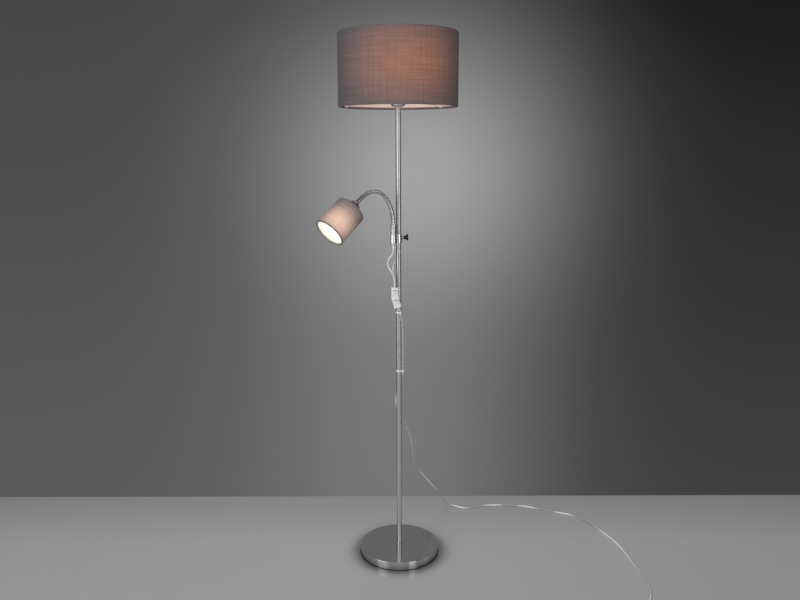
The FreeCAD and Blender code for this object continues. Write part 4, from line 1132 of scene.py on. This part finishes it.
READING_CORD = Cord("reading_lead", "reading_cord", (
    (-15.711, -13.324, 977.9), (-15.711, -13.324, 966.9), (-19.4, -14.6, 956.5),
    (-28.6, -17.0, 946.5), (-34.4, -19.0, 933.5), (-30.0, -20.6, 919.5), (-20.0, -21.8, 906.0),
    (-13.6, -22.1, 889.0), (-11.5, -22.1, 869.0), (-11.5, -22.1, 856.2),
), 132.0)
LAMP_CORD = Cord("main_lead", "lamp_cord", (
    (0.0, 10.121, 959.879), (0.0, 17.899, 952.101), (-4.5, 21.0, 939.5), (-13.0, 17.0, 929.5),
    (-16.4, 6.5, 918.5), (-16.6, -4.5, 905.0), (-14.4, -12.0, 888.0), (-11.5, -14.5, 869.0),
    (-11.5, -14.5, 856.2),
), 121.0)
SUPPLY_CORD = Cord("mains_lead", "supply_cord", (
    (0.425, -14.3, 800.967), (2.242, -14.3, 794.415), (4.701, -11.636, 784.0),
    (4.701, -11.636, 774.0), (7.6, -10.8, 762.0), (11.2, -7.2, 744.0), (12.6, -3.2, 718.0),
    (12.4, -3.0, 682.0), (12.6, -3.8, 640.0), (11.936, -3.878, 605.0), (11.936, -3.878, 585.0),
    (11.4, 5.4, 564.0), (3.4, 12.8, 545.0), (-5.6, 12.0, 523.0), (-9.0, 8.8, 499.0),
    (-7.2, 11.0, 473.0), (2.4, 13.6, 449.0), (15.0, 13.4, 422.0), (29.5, 15.4, 392.0),
    (39.6, 18.4, 359.0), (43.0, 23.0, 326.0), (43.6, 31.0, 299.0), (54.0, 52.0, 264.0),
    (74.0, 95.0, 218.0), (98.0, 150.0, 168.0), (123.0, 206.0, 116.0), (143.0, 251.0, 70.0),
    (155.0, 278.0, 38.0), (167.0, 299.0, 16.0), (185.0, 306.0, 5.0), (208.0, 297.0, 2.8),
    (229.0, 283.0, 2.8), (256.0, 285.0, 2.8), (290.0, 302.0, 2.8), (324.0, 308.0, 2.8),
    (362.0, 307.0, 2.8), (408.0, 303.0, 2.8), (459.0, 297.0, 2.8), (502.0, 270.0, 2.8),
    (545.0, 253.0, 2.8), (590.0, 237.0, 2.8), (626.0, 206.0, 2.8), (654.0, 163.0, 2.8),
    (676.0, 112.0, 2.8), (702.0, 48.0, 2.8), (716.0, -26.0, 2.8), (722.0, -106.0, 2.8),
    (734.0, -184.0, 2.8), (728.0, -252.0, 2.8), (703.0, -304.0, 2.8), (662.0, -325.0, 4.4),
    (634.0, -326.0, 6.4), (610.0, -326.0, 6.85), (599.0, -326.0, 6.85),
), 2066.0)


@dataclass(frozen=True)
class Cords:
    """The three cords, each a clear jacket over two wires.

    Attributes:
        parting: height at which the reading light's cord is parted in two.
        twist: heights between which the upper piece would take up the clamp's turn; not used.
        give: heights between which the lower piece would take up its slide; not used.
    """

    parting: float = 926.0
    twist: tuple[float, float] = (977.0, 953.0)
    give: tuple[float, float] = (917.0, 865.0)

    def routed(self, cord: Cord, jacket: Material, core: Material) -> list[Piece]:
        """A cord that stays where it lies: its spline gets a round section, and rides on the pole.

        Args:
            cord: its route and sizes.
            jacket: finish of the jacket.
            core: finish of the wires.

        Returns:
            The jacket and the two wires.
        """
        route = cord.curve()
        made = [route, *cord.cores(cord.name, cord.line(route), core)]
        route.data.bevel_depth = cord.diameter / 2 * MM
        route.data.bevel_resolution = 5
        route.data.use_fill_caps = True
        route.data.materials.append(jacket)
        for piece in made:
            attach(piece, "root")
        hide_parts(cord.node)
        return made

    def reading(self, jacket: Material, core: Material) -> list[Piece]:
        """The reading light's cord in two pieces that meet at the parting height.

        Args:
            jacket: finish of the jacket.
            core: finish of the wires.

        Returns:
            Both pieces, each followed by its wires.
        """
        cord = READING_CORD
        route = cord.curve()
        line = cord.line(route)
        bpy.data.objects.remove(route)
        cut = int(np.argmin(np.abs(line[:, 2] - self.parting)))
        made = []
        spans = (("upper", line[:cut + 1], ("clamp", "carriage"), self.twist),
                 ("lower", line[cut:], ("carriage", "root"), self.give))
        for label, part, bodies, heights in spans:
            name = f"{cord.name}_{label}"
            tube = swept(name, part, cord.diameter / 2, jacket)
            pieces = [tube, *cord.cores(name, part, core)]
            for piece in pieces:
                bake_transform(piece)
            made += pieces
        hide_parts(cord.node)
        return made

    def build(self, looks: Finishes) -> list[Piece]:
        """Makes all three cords in their jacket and wire finishes.

        Args:
            looks: the lamp's finishes.

        Returns:
            The pieces.
        """
        jacket, core = looks.jacket.material("cord_jacket"), looks.core.material("cord_wires")
        clear = looks.clear_jacket.material("clear_cord_jacket")
        dark = looks.grey_core.material("grey_cord_wires")
        return [*self.reading(jacket, core),
                *self.routed(LAMP_CORD, jacket, core),
                *self.routed(SUPPLY_CORD, clear, dark)]


# Sub-assemblies whose shapes the frame has


def dress(material: Material, *nodes: str) -> None:
    """Gives frame nodes that stay shown their finish.

    Args:
        material: the finish.
        *nodes: the nodes' names.
    """
    for node in nodes:
        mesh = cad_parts[node].data
        mesh.materials.clear()
        mesh.materials.append(material)
        LOG.info("dressed %s as %s", node, material.name)


@dataclass(frozen=True)
class Foot:
    """Round foot with its weight, pad and what holds the pole on it."""

    def build(self, looks: Finishes) -> None:
        """Dresses the foot.

        Args:
            looks: the lamp's finishes.
        """
        dress(looks.foot.material("foot_nickel"), "base_cover", "foot_collar")
        dress(looks.ballast.material("cast_weight"), "base_weight")
        dress(looks.foam.material("foam_pad"), "base_pad")
        dress(looks.zinc.material("zinc_foot"), "base_nut_and_washer", "foot_nipple")


@dataclass(frozen=True)
class Pole:
    """Steel pole, what joins its tubes, and its cable outlet."""

    def build(self, looks: Finishes) -> None:
        """Dresses the pole.

        Args:
            looks: the lamp's finishes.
        """
        dress(looks.nickel.material("pole_nickel"), "pole_lower", "pole_middle", "pole_upper")
        dress(looks.zinc.material("zinc_pole"), "pole_foot_insert", "pole_couplers",
              "pole_top_insert", "top_nipple")
        dress(looks.housing.material("outlet_plastic"), "outlet_grommet")
        dress(looks.white.material("lead_sleeve"), "lamp_lead")


@dataclass(frozen=True)
class Light:
    """A lampholder with its bulb, its shade's wires and lining, and the shade's cloth.

    Attributes:
        nut: finish of the ring nut.
        shade: the cloth, whose nodes' names start as the light's do.
        cloth: the cloth's finish.
        lining: the lining's finish.
    """

    nut: Metal
    shade: DrumShade
    cloth: Cloth
    lining: Lining

    def build(self, looks: Finishes) -> list[Piece]:
        """Dresses the holder and makes the cloth.

        Args:
            looks: the lamp's finishes.

        Returns:
            The cloth, as the one new piece.
        """
        p = self.shade.prefix
        dress(self.nut.material(f"{p}_nut_finish"), f"{p}_ring_nut")
        dress(looks.chrome.material(f"{p}_cup_chrome"), f"{p}_cup")
        dress(looks.white.material(f"{p}_holder_plastic"), f"{p}_holder", f"{p}_shade_nut")
        dress(looks.brass.material(f"{p}_contact_brass"), f"{p}_holder_contacts")
        dress(looks.zinc.material(f"{p}_cap_metal"), f"{p}_bulb_cap")
        dress(looks.opal.material(f"{p}_opal_glass"), f"{p}_bulb_glass")
        dress(looks.wire_white.material(f"{p}_wire_paint"), f"{p}_shade_fitter", f"{p}_shade_ring")
        dress(self.lining.material(f"{p}_lining"), f"{p}_shade_liner")
        return [self.shade.build(self.cloth.material(f"{p}_linen"))]


@dataclass(frozen=True)
class Clamp:
    """Die-cast clamp with its wing screw, ferrule and cord gland."""

    def build(self, looks: Finishes) -> None:
        """Dresses the clamp.

        Args:
            looks: the lamp's finishes.
        """
        dress(looks.chrome.material("clamp_chrome"), "clamp_body")
        dress(looks.hose.material("ferrule_steel"), "arm_ferrule")
        dress(looks.white.material("liner_plastic"), "clamp_liner")
        dress(looks.housing.material("gland_plastic"), "cord_gland")
        dress(looks.black.material("wing_plastic"), "wing_screw")


@dataclass(frozen=True)
class InlineSwitch:
    """Switch with two rockers, the cord clips and the plug."""

    def build(self, looks: Finishes) -> None:
        """Dresses the switch, the clips and the plug.

        Args:
            looks: the lamp's finishes.
        """
        dress(looks.housing.material("switch_plastic"), "switch_back", "switch_front", "cord_clips")
        dress(looks.housing.material("rocker_plastic"), "switch_rocker_upper",
              "switch_rocker_lower")
        dress(looks.brass.material("switch_brass"), "switch_contacts", "plug_pins")
        dress(looks.zinc.material("switch_screw_zinc"), "switch_screws")
        dress(looks.housing.material("plug_plastic"), "plug_body")


# Studio


@dataclass(frozen=True)
class Softbox:
    """An area light that looks at the lamp, its sizes in metres.

    Attributes:
        name: of the light.
        azimuth: degrees to the right of the camera, seen from the lamp.
        distance: from the axis.
        height: of its middle above the floor.
        size: width and height.
        power: in watts.
        aim: height on the axis that it looks at.
        mirrored: whether metal shows it.
        lights: whether it lights what isn't shiny.
    """

    name: str
    azimuth: float
    distance: float
    height: float
    size: tuple[float, float]
    power: float
    aim: float
    mirrored: bool = True
    lights: bool = True

    def build(self) -> None:
        """Makes the light."""
        data = bpy.data.lights.new(self.name, "AREA")
        data.shape, data.energy = "RECTANGLE", self.power
        data.size, data.size_y = self.size
        light = bpy.data.objects.new(self.name, data)
        light.visible_camera = False
        light.visible_glossy = self.mirrored
        light.visible_diffuse = self.lights
        a = math.radians(self.azimuth)
        light.location = (self.distance * math.sin(a), -self.distance * math.cos(a), self.height)
        way = Vector((0, 0, self.aim)) - light.location
        light.rotation_euler = way.to_track_quat("-Z", "Y").to_euler()
        bpy.context.scene.collection.objects.link(light)


@dataclass(frozen=True)
class Studio:
    """Camera, softboxes, floor and wall, in metres.

    The boxes are a tall one each side of the camera, a small one above it, one over the floor
    behind it, a wide one above the lamp and one behind it. What the right one shows in metal is
    brighter than what it throws on the cloth, so it is two lights.

    Attributes:
        distance: of the camera from the pole's axis.
        height: of the camera above the floor.
        pitch: how far it looks down, in degrees.
        roll: how far it leans.
        lens: in millimetres, on a sensor of the width that follows.
        sensor: width of the sensor, in millimetres.
        shift: of the picture, in pixels right and up.
        wall: how far the wall stands behind the axis.
        reach: how far floor and wall go to each side, and the floor to the front and back.
        wall_height: of the wall.
        foot: radius of the lamp's foot, whose shadow is painted on the floor.
        room: light of the room from the left, from the right, and from in front and behind.
        boxes: the softboxes, each with its azimuth, distance and height first.
    """

    distance: float = 2.3181
    height: float = 1.2805
    pitch: float = 9.181
    roll: float = 0.165
    lens: float = 35.0
    sensor: float = 36.0
    shift: tuple[float, float] = (1.35, -29.06)
    wall: float = 0.388
    reach: float = 6.0
    wall_height: float = 4.0
    foot: float = 0.1225
    room: tuple[float, float, float] = (0.17, 0.0, 0.45)
    boxes: tuple[Softbox, ...] = (
        Softbox("left_box", -49.0, 2.7, 1.3, size=(1.45, 1.9), power=19.0, aim=1.0),
        Softbox("right_box", 38.0, 2.9, 1.3, size=(0.85, 1.9), power=13.5, aim=1.0, lights=False),
        Softbox("right_fill", 38.0, 2.9, 1.3, size=(0.85, 1.9), power=7.0, aim=1.0,
                mirrored=False),
        Softbox("front_box", 0.0, 2.6, 2.2, size=(1.4, 0.5), power=3.2, aim=1.1),
        Softbox("floor_box", 9.0, 3.7, 1.9, size=(5.0, 1.6), power=73.0, aim=-8.0,
                mirrored=False),
        Softbox("top_box", 180.0, 1.9, 2.9, size=(2.2, 1.2), power=50.0, aim=0.1, mirrored=False),
        Softbox("back_box", 180.0, 2.6, 1.3, size=(1.8, 2.0), power=12.0, aim=0.9),
    )

    def camera(self) -> None:
        """Stands the camera in front of the lamp."""
        data = bpy.data.cameras.new("camera")
        data.lens, data.sensor_width = self.lens, self.sensor
        data.shift_x, data.shift_y = (s / IMAGE_WIDTH for s in self.shift)
        data.clip_start, data.clip_end = 0.05, 50.0
        camera = bpy.data.objects.new("camera", data)
        look = Matrix.Rotation(math.radians(90 - self.pitch), 4, "X")
        lean = Matrix.Rotation(math.radians(-self.roll), 4, "Z")
        camera.matrix_world = Matrix.Translation((0, -self.distance, self.height)) @ look @ lean
        bpy.context.scene.collection.objects.link(camera)
        bpy.context.scene.camera = camera

    def world(self) -> None:
        """The room's own light: a grey that falls from left to right and is lighter in front and
        behind. Metal also shows a high pane at the right, and the camera sees a plain grey."""
        side_ends, front_lean, front_edge = (-0.9, 0.9), 0.25, (0.35, 0.85)
        pane_height, pane_edge, pane_side, pane_tone = 0.27, (0.09, 0.13), (0.87, 0.92), 1.6
        seen_tone = 0.2
        world = bpy.data.worlds.new("room")
        world.use_nodes = True
        bpy.context.scene.world = world
        t = Tree(world.node_tree)
        across, front, up = t.parts(t.add("ShaderNodeTexCoord").outputs["Generated"])
        left, right, ahead = self.room
        sides = t.span(across, left, right, *side_ends)
        turned = t.maths("SUBTRACT", t.maths("ABSOLUTE", front), t.times(across, front_lean))
        level = t.blend(t.span(turned, 0.0, 1.0, *front_edge), sides, grey(ahead))
        path = t.add("ShaderNodeLightPath").outputs
        above = t.maths("ABSOLUTE", t.maths("SUBTRACT", up, pane_height))
        pane = t.times(t.span(above, 1.0, 0.0, *pane_edge), t.span(across, 0.0, 1.0, *pane_side))
        level = t.blend(t.times(pane, path["Is Glossy Ray"]), level, grey(pane_tone))
        tone = t.blend(path["Is Camera Ray"], level, grey(seen_tone))
        t.feed(world.node_tree.nodes["Background"].inputs["Color"], tone)

    def stage(self) -> None:
        """A grey floor with painted shade and a painted shadow round the foot, and a wall with a
        painted patch of light behind the lamp, seen from in front only.
        """
        grey_floor = self.floor_material()
        x, y, top = self.reach, self.wall, self.wall_height
        floor = self.plane("floor", [(-x, -x, 0), (x, -x, 0), (x, y, 0), (-x, y, 0)], grey_floor)
        wall = self.plane("wall", [(-x, y, 0), (x, y, 0), (x, y, top), (-x, y, top)],
                          self.wall_material())
        back = self.plane("floor_behind", [(-x, y, 0), (x, y, 0), (x, x, 0), (-x, x, 0)],
                          grey_floor)

    @staticmethod
    def plane(name: str, corners: list[Point], material: Material) -> Piece:
        """A four-cornered sheet of the stage.

        Args:
            name: its name.
            corners: in metres.
            material: its finish.

        Returns:
            The sheet.
        """
        mesh = bpy.data.meshes.new(name)
        mesh.from_pydata(corners, [], [(0, 1, 2, 3)])
        mesh.materials.append(material)
        sheet = bpy.data.objects.new(name, mesh)
        bpy.context.scene.collection.objects.link(sheet)
        return sheet

    def floor_material(self) -> Material:
        """Satin grey floor with a faint reflection, with painted shade that makes it a little darker
        towards the wall, and a painted shadow round the foot, as exp(-((radius - foot) / width)^2)
        outside it and fully under it.

        Returns:
            The material.
        """
        patch_scale, darker, lighter, painted_shade_far_tone, painted_shade_start = 2.0, 0.448, 0.461, 0.33, 0.05
        shadow_width, shadow_share, painted_shadow_edge = 0.03, 0.64, (0.001, 0.006)
        made, t, shader, where = start_material("studio_floor")
        patches = t.effect(EFFECTS.clouds, {"Vector": where, "Scale": patch_scale}).outputs[0]
        near = t.blend(patches, grey(darker), grey(lighter))
        x, y, _ = t.parts(where)
        # Painted shade: the floor's colour is darker towards the wall.
        far = t.span(y, 0.0, 1.0, painted_shade_start, self.wall)
        # Painted shadow of the foot: a soft dark band outside its rim and black under it.
        radius = t.maths("SQRT", t.square_sum(x, y))
        away = t.off(radius, self.foot, shadow_width)
        soft = t.times(t.bell(t.times(away, away)), shadow_share)
        under = t.span(radius, 1.0, 0.0, *(self.foot + edge for edge in painted_shadow_edge))
        open_floor = t.blend(far, near, grey(painted_shade_far_tone))
        t.feed(shader.inputs["Base Color"],
               t.blend(t.maths("MAXIMUM", soft, under), open_floor, grey(0.0)))
        plain(shader, {"Roughness": 0.22, "Specular IOR Level": 0.6})
        return made

    def wall_material(self) -> Material:
        """The wall's painted light, which the camera, mirrors and glass see as its own glow: a level
        that falls to the right and upwards, and soft lobes, each a share of exp(-((x - middle) /
        width)^2 - ((z - middle) / height)^2). Light that it throws back is a plain dark grey's. From
        behind and for shadows it isn't there.

        Returns:
            The material.
        """
        across_tone, across_ends = (0.104, 0.052), (-0.72, 0.72)
        upward_tone, upward_ends = (0.0, -0.04), (0.0, 1.75)
        upper_light_pool = (0.2666, (0.088, 0.463), (1.2245, 0.452))
        lower_light_pool = (0.1113, (0.022, 0.532), (0.325, 1.003))
        made, t, shader, where = start_material("studio_wall")
        x, _, z = t.parts(where)
        tone = t.plus(t.span(x, *across_tone, *across_ends), t.span(z, *upward_tone, *upward_ends))
        # Painted pools of light on the wall.
        for share, across, up in (upper_light_pool, lower_light_pool):
            fall = t.bell(t.square_sum(t.off(x, *across), t.off(z, *up)))
            tone = t.plus(tone, t.times(fall, share))
        # The painted light is given off as emission.
        own = t.add("ShaderNodeEmission", {"Color": tone, "Strength": 1.0})
        plain(shader, {"Roughness": 0.9})
        t.feed(shader.inputs["Base Color"], grey(0.12))
        path = t.add("ShaderNodeLightPath").outputs
        mirrored = t.plus(path["Is Glossy Ray"], path["Is Transmission Ray"])
        seen = t.maths("MINIMUM", 1.0, t.plus(path["Is Camera Ray"], mirrored))
        front = t.add("ShaderNodeMixShader", {0: seen, 1: shader.outputs[0], 2: own.outputs[0]})
        hidden = t.add("ShaderNodeBsdfTransparent")
        gone = t.maths("MAXIMUM", t.add("ShaderNodeNewGeometry").outputs["Backfacing"],
                       path["Is Shadow Ray"])
        both = t.add("ShaderNodeMixShader", {0: gone, 1: front.outputs[0], 2: hidden.outputs[0]})
        t.feed(made.node_tree.nodes["Material Output"].inputs["Surface"], both.outputs[0])
        return made

    def build(self) -> None:
        """Makes the camera, the lights and the stage."""
        self.camera()
        for box in self.boxes:
            box.build()
        self.world()
        self.stage()
        bpy.context.scene.view_settings.view_transform = "Standard"


# The lamp


@dataclass(frozen=True)
class Lamp:
    """The whole floor lamp.

    Attributes:
        looks: its plain finishes.
        reading_rim: how far the reading shade's first rim is beyond the hose's end.
        main_lit: azimuth at which the bulb shows brightest through the big shade, in degrees.
        reading_lit: the same for the small shade, in its own frame.
    """

    looks: Finishes = field(default_factory=Finishes)
    reading_rim: float = 29.0
    main_lit: float = -84.0
    reading_lit: float = -56.0

    def main_light(self) -> Light:
        """The big drum shade's light.

        Returns:
            The light, ready to build.
        """
        lit = Place(SHADE_BOTTOM.origin, turn_about("z", self.main_lit))
        through = Glow(lit, middle=0.113, spread=0.1, sides=0.02, power=2.7,
                       colour=(0.225, 0.058, 0.006))
        inside = Glow(lit, middle=0.105, spread=0.16, sides=0.85, power=1.0,
                      colour=(0.26, 0.11, 0.085), strength=0.9)
        shade = DrumShade("main", "root", SHADE_BOTTOM, low=350.0, high=350.0, height=210.0,
                          wire=3.5, fabric=0.8, arms=(39.0, 159.0, 279.0), seam=90.0)
        cloth = Cloth((0.101, 0.097, 0.106), (0.216, 0.208, 0.225), through, rim=0.0065,
                      hem=0.72, length=shade.height * MM)
        return Light(self.looks.nickel, shade, cloth, Lining((0.86, 0.84, 0.8), inside))

    def reading_light(self) -> Light:
        """The small shade's light.

        Returns:
            The light, ready to build.
        """
        rim = HEAD.out([0.0, 0.0, self.reading_rim])
        lit = Place(rim, HEAD.turn @ turn_about("z", self.reading_lit))
        through = Glow(lit, middle=0.071, spread=0.045, sides=0.2, power=2.2,
                       colour=(0.72, 0.44, 0.3))
        inside = Glow(lit, middle=0.06, spread=0.12, sides=0.95, power=1.0,
                      colour=(0.07, 0.066, 0.048))
        shade = DrumShade("reading", "head", Place(rim, HEAD.turn), low=90.0, high=94.0,
                          height=100.0, wire=2.5, fabric=0.7, arms=(30.0, 150.0, 270.0),
                          seam=180.0)
        cloth = Cloth((0.13, 0.13, 0.14), (0.27, 0.27, 0.29), through, rim=0.0038, hem=0.12,
                      length=shade.height * MM, slubs=0.6)
        return Light(self.looks.chrome, shade, cloth, Lining((0.82, 0.8, 0.71), inside))

    def build(self) -> list[Piece]:
        """Builds every sub-assembly in order.

        Returns:
            The new pieces.
        """
        looks = self.looks
        made = Cords().build(looks)
        for dressed in (Foot(), Pole(), Clamp(), InlineSwitch()):
            dressed.build(looks)
        made += NECK.build(looks.hose.material("hose_chrome"))
        for light in (self.main_light(), self.reading_light()):
            made += light.build(looks)
        return made


def main() -> None:
    """Builds the studio and the lamp."""
    logging.basicConfig(level=logging.INFO, format="%(message)s")
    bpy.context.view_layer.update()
    Studio().build()
    for piece in Lamp().build():
        LOG.info("made %s", piece.name)


if __name__ == "__main__":
    main()
